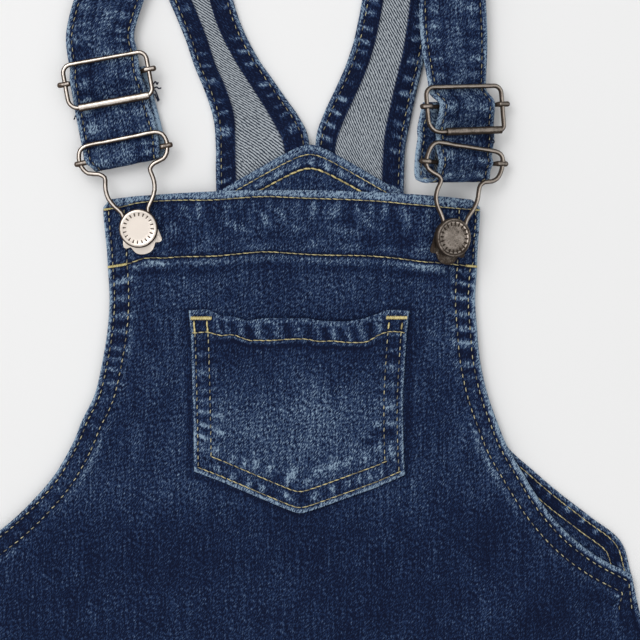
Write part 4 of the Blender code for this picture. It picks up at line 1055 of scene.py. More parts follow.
def buildStrap(side, seed):
    centres, across, inward, half, along = strapFrame(side)
    places = np.array(strap["places"])
    edge = np.concatenate((places, places[::-1]))[None, :]
    signs = np.repeat((-1.0, 1.0), len(places))[None, :]
    # Columns near an edge keep their distance from it, and the others share what lies between
    margin = strap["marginal"]
    inner = (half[:, None] - margin) * (1.0 - (edge - margin) / (strap["width"] / 2 - margin))
    offset = np.where(edge < margin, half[:, None] - edge, inner) * signs
    full = np.ones_like(offset)
    length = along[:, None] * full
    place = {"edge": edge * full, "right": (signs > 0) * full, "across": offset}
    face, inside = strapRelief(side, place, length, seed)
    share = rimProfile(np.minimum(place["edge"], np.minimum(length, along[-1] - length)), 1.0)
    thick = strap["core"] + (strap["edge"] - strap["core"]) * inside["hem"]
    base = centres[:, None, :] + across[:, None, :] * offset[:, :, None]
    middle = strap["edge"] / 2
    outer = strapSide(base, inward, middle - (middle + np.minimum(face["height"], 0.12)) * share)
    under = strapSide(base, inward, middle + (thick - middle + inside["height"]) * share)
    spots = np.stack((strap["cutFrom"][side] + offset, -length), axis=-1)
    marks = {"wearAndShadeUnder": inside["wearAndShade"], "insideUnder": 1.0 - inside["hem"]}
    piece = clothWall("strap_cloth_" + side, outer, under, spots, face["wearAndShade"], denim, marks)
    return piece, {"outer": outer, "under": under, "inward": inward, "edge": place["edge"],
                   "along": along}


strapPieces = {}
strapGrids = {}
for side, seed in (("left", 101), ("right", 131)):
    strapPieces[side], strapGrids[side] = buildStrap(side, seed)
    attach(strapPieces[side], "root")
    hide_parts("strap_" + side)
    print("strap made:", len(strapPieces[side].data.polygons), "faces")


# Stitches: each is a short thread that dips into the cloth at both ends

threadLook = {
    "gold": (0.54, 0.45, 0.18),
    "light": (0.73, 0.63, 0.31),
    "dull": (0.24, 0.20, 0.10),
    "cream": (0.50, 0.475, 0.315),
    "creamDull": (0.15, 0.15, 0.125),
    "twist": 5.2,
}
stitchKinds = {
    "topstitch": {"length": 2.7, "gap": 0.05, "thick": 0.47, "rise": 0.22, "sink": -0.08, "pale": 0.5,
                  "tones": (0.25, 0.95)},
    "hem": {"length": 2.05, "gap": 1.15, "thick": 0.45, "rise": 0.20, "sink": -0.24, "pale": 0.9,
            "tones": (0.1, 0.8)},
    "strap": {"length": 2.3, "gap": 1.1, "thick": 0.38, "rise": 0.14, "sink": -0.22, "pale": 0.7,
              "tones": (0.0, 0.6)},
    "heavy": {"length": 3.1, "gap": 0.1, "thick": 0.82, "rise": 0.30, "sink": -0.08, "pale": 0.1,
              "tones": (0.25, 0.95)},
}


def threadSurface(name, look):
    surface = Surface(name)
    place = surface.node("ShaderNodeTexCoord")
    grime = surface.noise(surface.out(place, "Object"), 420.0, 2.0, 0.6)
    tone = surface.attribute("tone")
    along = surface.attribute("along")
    around = surface.attribute("around")
    pale = surface.attribute("pale")
    ply = (along * look["twist"] + around * 2.0 * pi).wave()
    dull = surface.mix(pale, look["dull"], look["creamDull"])
    gold = surface.mix(pale, look["gold"], look["cream"])
    colour = surface.mix(surface.step(tone + (grime - 0.5) * 0.9, 0.1, 0.8), dull, gold)
    shine = surface.step(tone + ply * 0.2 + (grime - 0.5) * 0.6, 0.45, 1.15) * (1.0 - pale * 0.9)
    colour = surface.mix(shine, colour, look["light"])
    surface.bump(ply, 0.00008, 0.7)
    return surface.set(Base_Color=colour, Roughness=0.62, Specular_IOR_Level=0.3)


thread = threadSurface("thread_gold", threadLook)
threadSides = 6
stations = np.array([0.0, 0.22, 0.5, 0.78, 1.0])  # along one stitch, and how thick it is there
taper = np.array([0.55, 0.92, 1.0, 0.92, 0.55])
upright = (0.0, 0.0, 1.0)
uneven = {"start": 0.08, "length": (0.90, 1.06), "tilt": (0.05, 0.32), "thick": (0.92, 1.08)}
tack = {"pitch": 0.36, "thick": 0.48, "heights": (-0.25, 0.30, 0.42, 0.30, -0.25), "lean": 0.22}


def pointsAt(spots, reach, line):
    # Points on a line at some distances along it
    return np.stack([np.interp(spots, reach, line[:, axis]) for axis in range(3)], axis=-1)


def unit(arrows):
    return arrows / np.maximum(np.linalg.norm(arrows, axis=-1), 1e-9)[..., None]


def nearest(values, wanted):
    return int(np.argmin(np.abs(values - wanted)))


def threadPiece(name, paths, ups, thick, tones, pales, material):
    # One mesh of many short threads; paths and ups are thread by station by three
    paths, ups, thick = (np.asarray(part, dtype=float) for part in (paths, ups, thick))
    count, length = paths.shape[:2]
    ahead = unit(np.gradient(paths, axis=1))
    beside = unit(np.cross(ahead, ups))
    above = np.cross(beside, ahead)
    turns = np.arange(threadSides) / threadSides
    angles = turns * 2 * pi
    narrowed = taper if length == len(taper) else np.ones(length)
    radius = (thick[:, None] / 2 * narrowed[None, :])[:, :, None, None]
    ring = beside[:, :, None, :] * np.cos(angles)[None, None, :, None]
    ring = ring + above[:, :, None, :] * np.sin(angles)[None, None, :, None]
    points = (paths[:, :, None, :] + ring * radius).reshape(-1, 3) * mm
    index = np.arange(count * length * threadSides).reshape(count, length, threadSides)
    near, far = index[:, :-1, :], index[:, 1:, :]
    quads = np.stack((near, np.roll(near, -1, axis=2), np.roll(far, -1, axis=2), far), axis=-1)
    faces = quads.reshape(-1, 4).tolist() + index[:, 0, ::-1].tolist() + index[:, -1, :].tolist()
    data = bpy.data.meshes.new(name)
    data.from_pydata(points.tolist(), [], faces)
    step = np.linalg.norm(np.diff(paths, axis=1), axis=2)
    along = np.concatenate((np.zeros((count, 1)), np.cumsum(step, axis=1)), axis=1)
    marks = {"tone": np.broadcast_to(tones[:, None, None], index.shape),
             "pale": np.broadcast_to(pales[:, None, None], index.shape),
             "along": np.broadcast_to(along[:, :, None], index.shape),
             "around": np.broadcast_to(turns[None, None, :], index.shape)}
    for mark, values in marks.items():
        stored = data.attributes.new(mark, "FLOAT", "POINT")
        stored.data.foreach_set("value", np.ascontiguousarray(values, dtype=float).ravel())
    data.materials.append(material)
    data.shade_smooth()
    piece = bpy.data.objects.new(name, data)
    bpy.context.collection.objects.link(piece)
    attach(piece, "root")
    return piece


def sewLine(line, ups, kind, seed, start=0.0, end=None):
    # Splits a line on the cloth into stitches and returns their paths, ups, thicknesses and tones
    look = stitchKinds[kind]
    reach = arcLength(line)
    end = reach[-1] if end is None else end
    count = max(round((end - start) / (look["length"] + look["gap"])), 1)
    pitch = (end - start) / count
    chance = np.random.default_rng(seed)
    first = start + (np.arange(count) + uneven["start"] * chance.uniform(-1.0, 1.0, count)) * pitch
    lengths = look["length"] * chance.uniform(*uneven["length"], count)
    spots = first[:, None] + stations[None, :] * lengths[:, None]
    up = unit(pointsAt(spots, reach, ups))
    sink, rise = look["sink"], look["rise"]
    heights = np.array([sink, rise * 0.62, rise, rise * 0.62, sink])
    path = pointsAt(spots, reach, line) + up * heights[None, :, None]
    beside = unit(np.cross(path[:, -1:] - path[:, :1], up))
    tilt = (stations - 0.5)[None, :, None] * chance.uniform(*uneven["tilt"], count)[:, None, None]
    path = path + beside * tilt
    thick = look["thick"] * chance.uniform(*uneven["thick"], count)
    return path, up, thick, chance.uniform(*look["tones"], count), np.full(count, look["pale"])


def sewAll(name, rows, material):
    paths, ups, thick, tones, pales = (np.concatenate(parts) for parts in zip(*rows))
    return threadPiece(name, paths, ups, thick, tones, pales, material)


def barTack(line, wide, seed):
    # Dense upright threads across a short line
    line, up = np.array(line, dtype=float), np.array(upright)
    reach = arcLength(line)
    along = (line[-1] - line[0]) / np.linalg.norm(line[-1] - line[0])
    across = np.cross(along, up)
    count = max(int(reach[-1] / tack["pitch"]), 3)
    chance = np.random.default_rng(seed)
    lean = tack["lean"] * (np.arange(count) % 2 - 0.5)[:, None, None]
    centre = pointsAt((np.arange(count) + 0.5) / count * reach[-1], reach, line)
    swing = (stations - 0.5)[None, :, None]
    path = centre[:, None, :] + across * (swing * wide * chance.uniform(0.9, 1.1, count)[:, None, None])
    path = path + along * (swing * lean * 2.0) + up * np.array(tack["heights"])[None, :, None]
    ups = np.broadcast_to(up, path.shape)
    return path, ups, np.full(count, tack["thick"]), chance.uniform(0.55, 1.0, count), np.zeros(count)


def endTacks(line, tacks, seed):
    # Bar tacks over both ends of a line, each from its x outwards
    (left, leftWide), (right, rightWide) = tacks
    return [barTack(line[line[:, 0] < left], leftWide, seed),
            barTack(line[line[:, 0] > right], rightWide, seed + 1)]


def clothPoints(piece, plan):
    # Upper points of a panel as a grid, with the directions out of the cloth
    rows, columns = plan["x"].shape
    points = np.zeros(len(piece.data.vertices) * 3)
    piece.data.vertices.foreach_get("co", points)
    points = points.reshape(-1, 3)[:rows * columns].reshape(rows, columns, 3) / mm
    return points, unit(np.cross(np.gradient(points, axis=0), np.gradient(points, axis=1)))


def sideLine(points, normals, side, distance, onRight, rows):
    # Line at one distance from a panel's side edge
    line, ups = [], []
    middle = points.shape[1] // 2
    columns = np.arange(middle, points.shape[1])[::-1] if onRight else np.arange(middle)
    for row in range(*rows):
        away = side[row, columns]
        line.append(pointsAt(distance, away, points[row, columns]))
        ups.append(pointsAt(distance, away, normals[row, columns]))
    return np.array(line), np.array(ups)


def rowLine(points, normals, away, distance, columns):
    # Line at one distance from a panel's top or bottom edge
    line, ups = [], []
    for column in range(*columns):
        order = np.argsort(away[:, column])
        reach = away[order, column]
        line.append(pointsAt(distance, reach, points[order, column]))
        ups.append(pointsAt(distance, reach, normals[order, column]))
    return np.array(line), np.array(ups)


def smoothLine(line, times=2):
    for _ in range(times):
        within = 0.25 * line[:-2] + 0.5 * line[1:-1] + 0.25 * line[2:]
        line = np.concatenate((line[:1], within, line[-1:]))
    return line


def sewFront():
    grid = frontPlan
    points, normals = clothPoints(frontPiece, grid)
    columns = points.shape[1]
    last = grid["hemmed"] + 2
    made = []
    low = grid["top"] - byX(front["footDrop"], grid["x"])
    high = grid["top"] - byX(front["topDrop"], grid["x"])
    # The armhole lines start at the top stitch, and beside the band the right outer one lies further in
    for onRight, distances in ((False, front["leftStitches"]), (True, front["rightStitches"])):
        start = int(np.argmax(high[:, -11 if onRight else 10] > front["bandStitch"] + 0.4))
        for distance in distances:
            outer = 1.2 * (1.0 - ease(26.6, 28.0, low)) * (onRight and distance < 5.0)
            side = grid["side"] + outer
            line, ups = sideLine(points, normals, side, distance, onRight, (start, last))
            made.append(sewLine(smoothLine(line), ups, "hem", 200 + int(distance * 10) + onRight))
    line, ups = rowLine(points, normals, high, front["bandStitch"], (2, columns - 2))
    line = smoothLine(line)
    made += [sewLine(line, ups, "topstitch", 221)] + endTacks(line, front["topTacks"], 226)
    line, ups = rowLine(points, normals, low, front["bandFoot"], (1, columns - 1))
    line = smoothLine(line)
    made += [sewLine(line, ups, "topstitch", 222)] + endTacks(line, front["footTacks"], 223)
    line, ups = rowLine(points, normals, grid["bottom"], front["hemStitch"], (2, columns - 2))
    made.append(sewLine(smoothLine(line), ups, "topstitch", 225))
    return sewAll("stitches_front", made, thread)


frontStitches = sewFront()


def sewPocket():
    points, normals = clothPoints(pocketPiece, pocketPlan)
    rows, columns = points.shape[:2]
    middle = columns // 2
    top, side, bottom = pocketPlan["top"], pocketPlan["side"], pocketPlan["bottom"]
    sewn = top - byX(pocket["mouthLine"], pocketPlan["x"])
    made = []
    # Each side line is heavy from the mouth to the band's stitch and plain from there to the foot
    for onRight, distances in ((False, pocket["leftStitches"]), (True, pocket["rightStitches"])):
        for distance, foot in zip(distances, pocket["footStitches"]):
            column = nearest(side[rows // 2, :middle], distance)
            column = columns - 1 - column if onRight else column
            start, turn = nearest(top[:, column], 5.2), nearest(sewn[:, column], 0.0)
            stop = nearest(bottom[:, column], foot)
            line, ups = sideLine(points, normals, side, distance, onRight, (turn, stop + 2))
            made.append(sewLine(smoothLine(line), ups, "hem", 240 + int(distance * 10) + onRight))
            line, ups = sideLine(points, normals, side, distance, onRight, (start, turn + 1))
            made.append(sewLine(line, ups, "heavy", 245 + int(distance * 10) + onRight))
    for distance, foot in zip(pocket["leftStitches"], pocket["footStitches"]):
        first = nearest(side[rows // 2, :middle], distance)
        line, ups = rowLine(points, normals, bottom, foot, (first, columns - first))
        made.append(sewLine(smoothLine(line, 3), ups, "topstitch", 250 + int(foot * 10)))
    line, ups = rowLine(points, normals, sewn, 0.0, (3, columns - 3))
    made.append(sewLine(smoothLine(line), ups, "topstitch", 261))
    # A level bar tack at each end of the mouth
    row = nearest(top[:, 4], 3.4)
    inner = nearest(side[row, :middle], 10.2)
    for onRight, near, far in ((False, 3, inner), (True, columns - 4, columns - 1 - inner)):
        ends = np.array((points[row, near], points[row, far]))
        ends[:, 1] = ends[:, 1].mean()
        made.append(barTack(ends, pocket["tackWidth"], 262 + onRight))
    return sewAll("stitches_pocket", made, thread)


pocketStitches = sewPocket()


def sewFacing():
    points, normals = clothPoints(facingPiece, facingPlan)
    made = []
    for distance, kind, seed in zip(facing["stitches"], ("topstitch", "heavy"), (271, 272)):
        line, ups = rowLine(points, normals, facingPlan["top"], distance, (2, points.shape[1] - 2))
        made.append(sewLine(smoothLine(line), ups, kind, seed))
    return sewAll("stitches_facing", made, thread)


facingStitches = sewFacing()


def sewBack():
    points, normals = clothPoints(backPiece, backPlan)
    start = nearest(backPlan["depth"][:, 0], back["sewnFrom"])
    rows = (start, backPlan["hemmed"])
    made = []
    for onRight in (False, True):
        for distance in back["hemStitches"]:
            line, ups = sideLine(points, normals, backPlan["side"], distance, onRight, rows)
            made.append(sewLine(smoothLine(line), ups, "topstitch", 280 + int(distance * 10) + onRight))
    return sewAll("stitches_back", made, thread)


backStitches = sewBack()


def sewStrap(side, seed):
    # One line along each edge, on the outer face and then on the inside
    grid = strapGrids[side]
    columns = grid["edge"].shape[1]
    halves = (list(range(columns // 2)), list(range(columns - 1, columns // 2 - 1, -1)))
    start, stop = 6.0, grid["along"][-1] - 3.0
    made = []
    for face, sign in (("outer", -1.0), ("under", 1.0)):
        for half in halves:
            away = grid["edge"][0, half]
            line = np.array([pointsAt(strap["stitch"], away, row[half]) for row in grid[face]])
            made.append(sewLine(line, grid["inward"] * sign, "strap", seed, start, stop))
            seed += 1
    return sewAll("stitches_strap_" + side, made, thread)


strapStitches = {"left": sewStrap("left", 300), "right": sewStrap("right", 310)}

# Loose dark ends at the straps' edges: x, depth and z of each thread's stations
looseEnds = (
    ((-62.4, -47.4, 2.8), (-61.2, -49.2, 3.6), (-60.2, -50.2, 3.8), (-59.6, -49.0, 3.4),
     (-59.2, -50.0, 2.8)),
    ((-62.2, -46.4, 2.8), (-61.0, -47.2, 3.4), (-59.8, -47.8, 3.6), (-58.8, -47.2, 3.0),
     (-57.9, -47.6, 2.4)),
    ((-61.8, -45.6, 2.6), (-60.8, -46.6, 3.2), (-60.0, -45.4, 3.2), (-59.4, -43.8, 2.8),
     (-58.8, -42.0, 2.2)),
    ((-61.2, -44.2, 2.4), (-60.6, -44.8, 2.8), (-60.1, -43.6, 2.8), (-59.6, -42.6, 2.6),
     (-59.2, -41.6, 2.2)),
    ((-95.0, -35.4, 2.8), (-95.7, -35.2, 3.0), (-96.2, -34.7, 2.8), (-96.4, -34.1, 2.4),
     (-96.8, -33.6, 2.0)),
    ((87.6, -25.8, 7.6), (88.6, -26.2, 7.8), (89.6, -25.6, 7.4), (89.2, -24.6, 6.8), (90.0, -23.8, 6.2)),
    ((87.8, -23.6, 7.4), (88.8, -23.0, 7.6), (89.8, -22.6, 7.0), (90.2, -23.4, 6.4), (89.4, -24.2, 6.0)),
)
looseThread = {"thick": 0.66, "tone": 0.3, "pale": 0.2}
navyLook = dict(threadLook, gold=(0.014, 0.022, 0.055), light=(0.05, 0.08, 0.14),
                dull=(0.006, 0.01, 0.03), cream=(0.03, 0.045, 0.09), creamDull=(0.01, 0.016, 0.04))
frayed = []
for spots in looseEnds:
    fray = smoothPath([(x, bibTop - depth, z) for x, depth, z in spots], [3] * len(spots))
    up = np.broadcast_to(np.array(upright), fray.shape)
    look = [np.full(1, looseThread[key]) for key in ("thick", "tone", "pale")]
    frayed.append((fray[None], up[None], *look))
looseThreads = sewAll("loose_threads", frayed, threadSurface("thread_navy", navyLook))
print("stitches sewn")


# Hardware: each piece is modelled flat at the origin and then laid in its seat

# The right set is a darker copy of the same nickel: painted shade for the tilted right hardware
nickelLitAndShadedLooks = {
    "left": {"worn": (0.82, 0.74, 0.665), "tarnishAndShadeTone": (0.085, 0.060, 0.046), "roughness": 0.32},
    "right": {"worn": (0.72, 0.63, 0.55), "tarnishAndShadeTone": (0.060, 0.045, 0.036), "roughness": 0.30},
}


def nickelSurface(name, look):
    surface = Surface(name)
    spot = surface.out(surface.node("ShaderNodeTexCoord"), "Object")
    blotch = surface.noise(spot, 190.0, 3.0, 0.6)
    scratch = surface.noise(spot, 1700.0, 2.0, 0.6)
    # Tarnish and painted shade from the pieces' own marks, made patchy by blotches and scratches
    tarnishAndShade = surface.attribute("tarnishAndShade") + (blotch - 0.5) * 0.5 + (scratch - 0.5) * 0.3
    # Ring of plain sunk dashes round a button's face, in its own flat coordinates
    flatMap = surface.out(surface.node("ShaderNodeUVMap", {"uv_map": "flat"}))
    flat = surface.node("ShaderNodeSeparateXYZ", Vector=flatMap)
    x, y = surface.out(flat, "X") * 1000.0, surface.out(flat, "Y") * 1000.0
    away = (x * x + y * y) ** 0.5
    turn = y.math("ARCTAN2", x)
    ring = surface.step((away - 6.1).size(), 0.95, 0.55)
    dashes = surface.step((turn * 20.0).wave(), 0.15, 0.85) * ring
    # Share of the dark tone, which is tarnish and painted shade
    worn = surface.step(tarnishAndShade + dashes * 0.6, 0.26, 0.66)
    surface.bump(scratch * 0.3 - dashes, 0.00006, 0.6)
    colour = surface.mix(worn, look["worn"], look["tarnishAndShadeTone"])
    return surface.set(Base_Color=colour, Metallic=0.95, Roughness=worn * 0.25 + look["roughness"])


nickel = {side: nickelSurface("nickel_" + side, look) for side, look in nickelLitAndShadedLooks.items()}

hardware = {
    "ringSides": 14,  # sides of a wire's round section
    "wire": 1.0,  # radius
    # How far a plate and a cap lie to the right and up from where the CAD has them
    "plateShift": {"left": (0.5, 0.0), "right": (-1.0, -0.5)},
    "capShift": {"left": (0.2, -0.5), "right": (-1.0, -0.5)},
    # Bars: half length, height of the ends, and how far out they dip under the strap
    "barHalf": 22.2,
    "barRise": 0.35,
    "barDips": 17.3,
    "eye": (1.25, 1.9, 1.05),  # half sizes of the swelling round a bar's end
    # Rollers: half length, thickness, shift to the right, wall, and how far the rounded end stands out,
    # its share of the width and how deep it is hollow
    "rollerHalf": {"left": 15.6, "right": 13.7},
    "rollerThick": 3.4,
    "rollerSlip": {"left": 1.2, "right": 3.3},
    "rollerWall": 0.42,
    "rollerEnd": (0.12, 0.9, 1.6),
    "buttonDrop": 33.0,  # how far down from the hook's middle the button lies, and how far up its cap
    "capFoot": 1.4,
    "button": 8.6,  # radii of the cap, the post and the plate's hole
    "post": 3.0,
    "keyhole": 3.5,
    "plate": 0.7,  # thickness
    # How much darker a piece is drawn than the wire's plain curve gives, as tarnish and painted shade, and
    # a button's flat face, as painted shade
    "tarnishAndShade": {"left": {"slider": 0.13, "hook": 0.13, "roller": -0.19, "plate": 0.04, "button": 0.0},
            "right": {"slider": 0.10, "hook": 0.10, "roller": -0.04, "plate": 0.46, "button": 0.0}},
    "paintedFaceShade": {"left": 0.0, "right": 0.46},
    "postReach": {"left": 2.1, "right": 3.6},
    # Steps of a cap's face from its rim to its middle, and of its back: how far in and how far up
    "capSteps": (
        (0.18, 0.34), (0.32, 0.30), (0.45, 0.16), (0.40, -0.02), (0.55, -0.22), (0.3, -0.06),
        (2.0, 0.0), (2.4, 0.0),
    ),
    "capBack": ((0.25, -0.2), (0.8, 0.0)),
    # The bar's half, from its tip to where it lies level under the strap: radii
    "barRadii": (0.65, 1.05, 1.22, 1.22, 1.05, 0.9, 0.9),
    # Corner radii of each slider: lower right, upper right, upper left, lower left
    "sliderCorners": {"left": (3.2, 3.6, 3.8, 4.6), "right": (2.2, 3.4, 3.6, 5.6)},
    # Each hook's wire from the middle of its rail down to its plate: left and right half, or both alike
    "hookHalves": {
        "left": ((
            (0.0, 7.1), (8.0, 7.1), (15.5, 7.1), (18.6, 5.6), (19.8, 2.2), (19.6, -0.5), (18.8, -3.0),
            (17.0, -5.1), (12.4, -6.4), (10.2, -8.4), (10.5, -11.0), (10.9, -14.0), (10.4, -18.0),
            (8.4, -21.9), (6.0, -25.2), (5.4, -29.0), (5.3, -33.0),
        ),),
        "right": ((
            (0.0, 7.1), (6.0, 6.8), (14.2, 6.6), (16.6, 4.9), (17.9, 1.9), (18.4, -0.9), (18.4, -3.2),
            (17.2, -5.4), (14.2, -6.8), (11.6, -7.6), (9.9, -9.2), (10.4, -11.6), (11.2, -14.5),
            (11.2, -17.5), (10.0, -20.7), (7.9, -23.7), (6.1, -26.6), (5.4, -29.6), (5.3, -33.0),
        ), (
            (0.0, 7.1), (8.0, 7.3), (15.0, 7.5), (17.9, 6.7), (19.2, 5.0), (19.6, 1.9), (19.2, -1.4),
            (17.9, -4.2), (15.4, -5.9), (11.8, -6.8), (9.9, -8.5), (9.5, -11.3), (9.6, -13.8),
            (9.2, -16.5), (7.9, -20.0), (6.0, -23.4), (5.2, -26.2), (5.1, -29.6), (5.3, -33.0),
        )),
    },
    "plateOutline": (
        (0.0, 7.2), (4.6, 6.2), (7.2, 2.6), (7.7, -1.4), (8.4, -4.8), (8.6, -7.3), (7.4, -8.0), (5.6, -7.8),
        (5.0, -8.8), (3.9, -10.6), (2.1, -11.7), (0.0, -12.0),
    ),
}


def startEdit(kind):
    bpy.ops.object.mode_set(mode="EDIT")
    bpy.ops.mesh.select_mode(type=kind)


def stopEdit():
    bpy.ops.mesh.select_all(action="SELECT")
    bpy.ops.mesh.remove_doubles(threshold=0.000004)
    bpy.ops.mesh.normals_make_consistent(inside=False)
    bpy.ops.object.mode_set(mode="OBJECT")
    bpy.ops.object.transform_apply(location=True, rotation=True, scale=True)
    return bpy.context.object


def pickFaces(test):
    # Selects the faces that pass a test on their centre and normal
    bpy.ops.mesh.select_all(action="DESELECT")
    bpy.ops.object.mode_set(mode="OBJECT")
    piece = bpy.context.object
    for face in piece.data.polygons:
        face.select = bool(test(face.center / mm, face.normal))
    bpy.ops.object.mode_set(mode="EDIT")


def bendWire(route, radii, closed=False):
    # A round section is extruded along a flat route and turned into each bend
    route = np.asarray(route, dtype=float) * mm
    if closed:
        way = np.roll(route, -1, axis=0) - np.roll(route, 1, axis=0)
    else:
        way = np.gradient(route, axis=0)
    heading = np.unwrap(np.arctan2(way[:, 1], way[:, 0]))
    bpy.ops.object.select_all(action="DESELECT")
    bpy.ops.mesh.primitive_circle_add(
        vertices=hardware["ringSides"], radius=radii[0] * mm, fill_type="NOTHING" if closed else "NGON",
        location=(*route[0], 0.0), rotation=(pi / 2, 0.0, heading[0] + pi / 2))
    startEdit("EDGE" if closed else "FACE")
    bpy.ops.mesh.select_all(action="SELECT")
    for index in range(1, len(route)):
        here = (*route[index], 0.0)
        step = (*(route[index] - route[index - 1]), 0.0)
        turn = heading[index - 1] - heading[index]
        move = {"value": step, "orient_type": "GLOBAL"}
        bpy.ops.mesh.extrude_region_move(TRANSFORM_OT_translate=move)
        bpy.ops.transform.rotate(value=turn, orient_axis="Z", center_override=here)
        if radii[index] != radii[index - 1]:
            ratio = radii[index] / radii[index - 1]
            bpy.ops.transform.resize(value=(ratio, ratio, ratio), center_override=here)
    if closed:
        bpy.ops.mesh.select_non_manifold(extend=False)
        bpy.ops.mesh.bridge_edge_loops()
    return stopEdit()


def addEyes(wirePiece, places):
    # Swellings where a bar passes through the wire
    parts = [wirePiece]
    for x, y, turn in places:
        bpy.ops.object.select_all(action="DESELECT")
        bpy.ops.mesh.primitive_uv_sphere_add(
            segments=16, ring_count=10, radius=mm, location=(x * mm, y * mm, 0.0),
            rotation=(0.0, 0.0, turn), scale=hardware["eye"])
        bpy.ops.object.transform_apply(location=True, rotation=True, scale=True)
        parts.append(bpy.context.object)
    return joined(parts)


def joined(parts):
    bpy.ops.object.select_all(action="DESELECT")
    for part in parts:
        part.select_set(True)
    bpy.context.view_layer.objects.active = parts[0]
    bpy.ops.object.join()
    return bpy.context.object


def layPiece(piece, name, side, seat, node, shift=(0.0, 0.0, 0.0)):
    # Marks tarnish and painted shade by how far each point faces down, lays the piece in its seat and hands
    # it to the frame
    kind = name.split("_")[0]
    piece.name = name
    data = piece.data
    data.name = name
    up = np.array([vertex.normal[2] for vertex in data.vertices])
    tarnishAndShade = 1.35 * (1.0 - np.clip(up, 0.0, 1.0)) ** 0.5 + hardware["tarnishAndShade"][side][kind]
    # Painted shade under the strap, where the bar dips, and darker tips outside the wire
    if "rod" in name:  # darker outside the wire and under the strap
        reach = np.abs([vertex.co[0] for vertex in data.vertices]) / mm
        tarnishAndShade = 0.75 * tarnishAndShade + 0.30 * ease(20.9, 21.4, reach) + 0.8 * (1.0 - ease(16.2, 17.2, reach))
    # Painted shade on the right button's flat face
    if kind == "button":
        tarnishAndShade = tarnishAndShade + hardware["paintedFaceShade"][side] * (up > 0.97)
    stored = data.attributes.new("tarnishAndShade", "FLOAT", "POINT")
    stored.data.foreach_set("value", tarnishAndShade)
    layer = data.uv_layers.new(name="flat")
    spots = np.array([vertex.co[:2] for vertex in data.vertices]) * (kind == "button")
    corners = np.zeros(len(data.loops), dtype=int)
    data.loops.foreach_get("vertex_index", corners)
    layer.data.foreach_set("uv", spots[corners].ravel())
    matrix = seatMatrix(seat)
    matrix.translation = matrix.translation * mm
    data.transform(matrix @ Matrix.Translation(Vector(shift) * mm))
    data.materials.clear()
    data.materials.append(nickel[side])
    bpy.ops.object.select_all(action="DESELECT")
    piece.select_set(True)
    bpy.context.view_layer.objects.active = piece
    bpy.ops.object.shade_smooth_by_angle(angle=radians(38.0))
    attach(piece, "root")
    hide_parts(node)
    return piece


def sliderRoute(side):
    half, top, foot = sliderSize["half"], sliderSize["top"], sliderSize["foot"]
    radii = hardware["sliderCorners"][side]
    points = []
    corners = ((half, foot, -90), (half, top, 0), (-half, top, 90), (-half, foot, 180))
    for (x, y, first), radius in zip(corners, radii):
        centreX = x - np.sign(x) * radius
        centreY = y - np.sign(y) * radius
        for turn in range(0, 91, 15):
            angle = radians(first + turn)
            points.append((centreX + radius * cos(angle), centreY + radius * sin(angle)))
        if first == 0:
            points += [(x * share, y) for x, share in ((half, 0.4), (half, 0.0), (half, -0.4))]
    return points


def makeBar(side, seat, name, node):
    # The bar lies below the strap and comes up through the wire at both ends
    half, rise, dips = hardware["barHalf"], hardware["barRise"], hardware["barDips"]
    low = -wire["barDrop"]
    end = ((half, rise), (half - 0.35, rise), (half - 1.0, rise), (dips, rise),
           (dips - 0.7, rise - 0.7), (dips - 1.5, low + 0.35), (dips - 2.6, low))
    route = [(-x, z) for x, z in end] + list(end[::-1])
    bar = bendWire(route, hardware["barRadii"] + hardware["barRadii"][::-1])
    bar.data.transform(Matrix.Rotation(pi / 2, 4, "X"))
    return layPiece(bar, name, side, seat, node)


def makeRoller(side, seat):
    # Tube with a thin wall, turned in at its ends
    half, outer = hardware["rollerHalf"][side], hardware["rollerThick"] / 2
    out, share, deep = hardware["rollerEnd"]
    bpy.ops.object.select_all(action="DESELECT")
    bpy.ops.mesh.primitive_cylinder_add(
        vertices=32, radius=outer * mm, depth=2 * half * mm, rotation=(0.0, pi / 2, 0.0))
    bpy.ops.object.transform_apply(location=True, rotation=True, scale=True)
    startEdit("FACE")
    for end in (-1.0, 1.0):
        pickFaces(lambda centre, normal: abs(centre.x - end * half) < 0.01)
        bpy.ops.mesh.extrude_region_move(TRANSFORM_OT_translate={"value": (end * out * mm, 0.0, 0.0)})
        bpy.ops.transform.resize(value=(1.0, share, share), center_override=(end * half * mm, 0.0, 0.0))
        bpy.ops.mesh.inset(thickness=hardware["rollerWall"] * mm)
        bpy.ops.mesh.extrude_region_move(TRANSFORM_OT_translate={"value": (-end * deep * mm, 0.0, 0.0)})
    roller = stopEdit()
    return layPiece(roller, "roller_" + side, side, seat, "slider_roller_" + side,
                    (hardware["rollerSlip"][side], sliderSize["foot"], outer - wire["roller"] / 2))


def roundHole(spot):
    # Angle round the plate's hole, from its foot
    return float(np.arctan2(spot[0], -spot[1]) % (2 * pi))


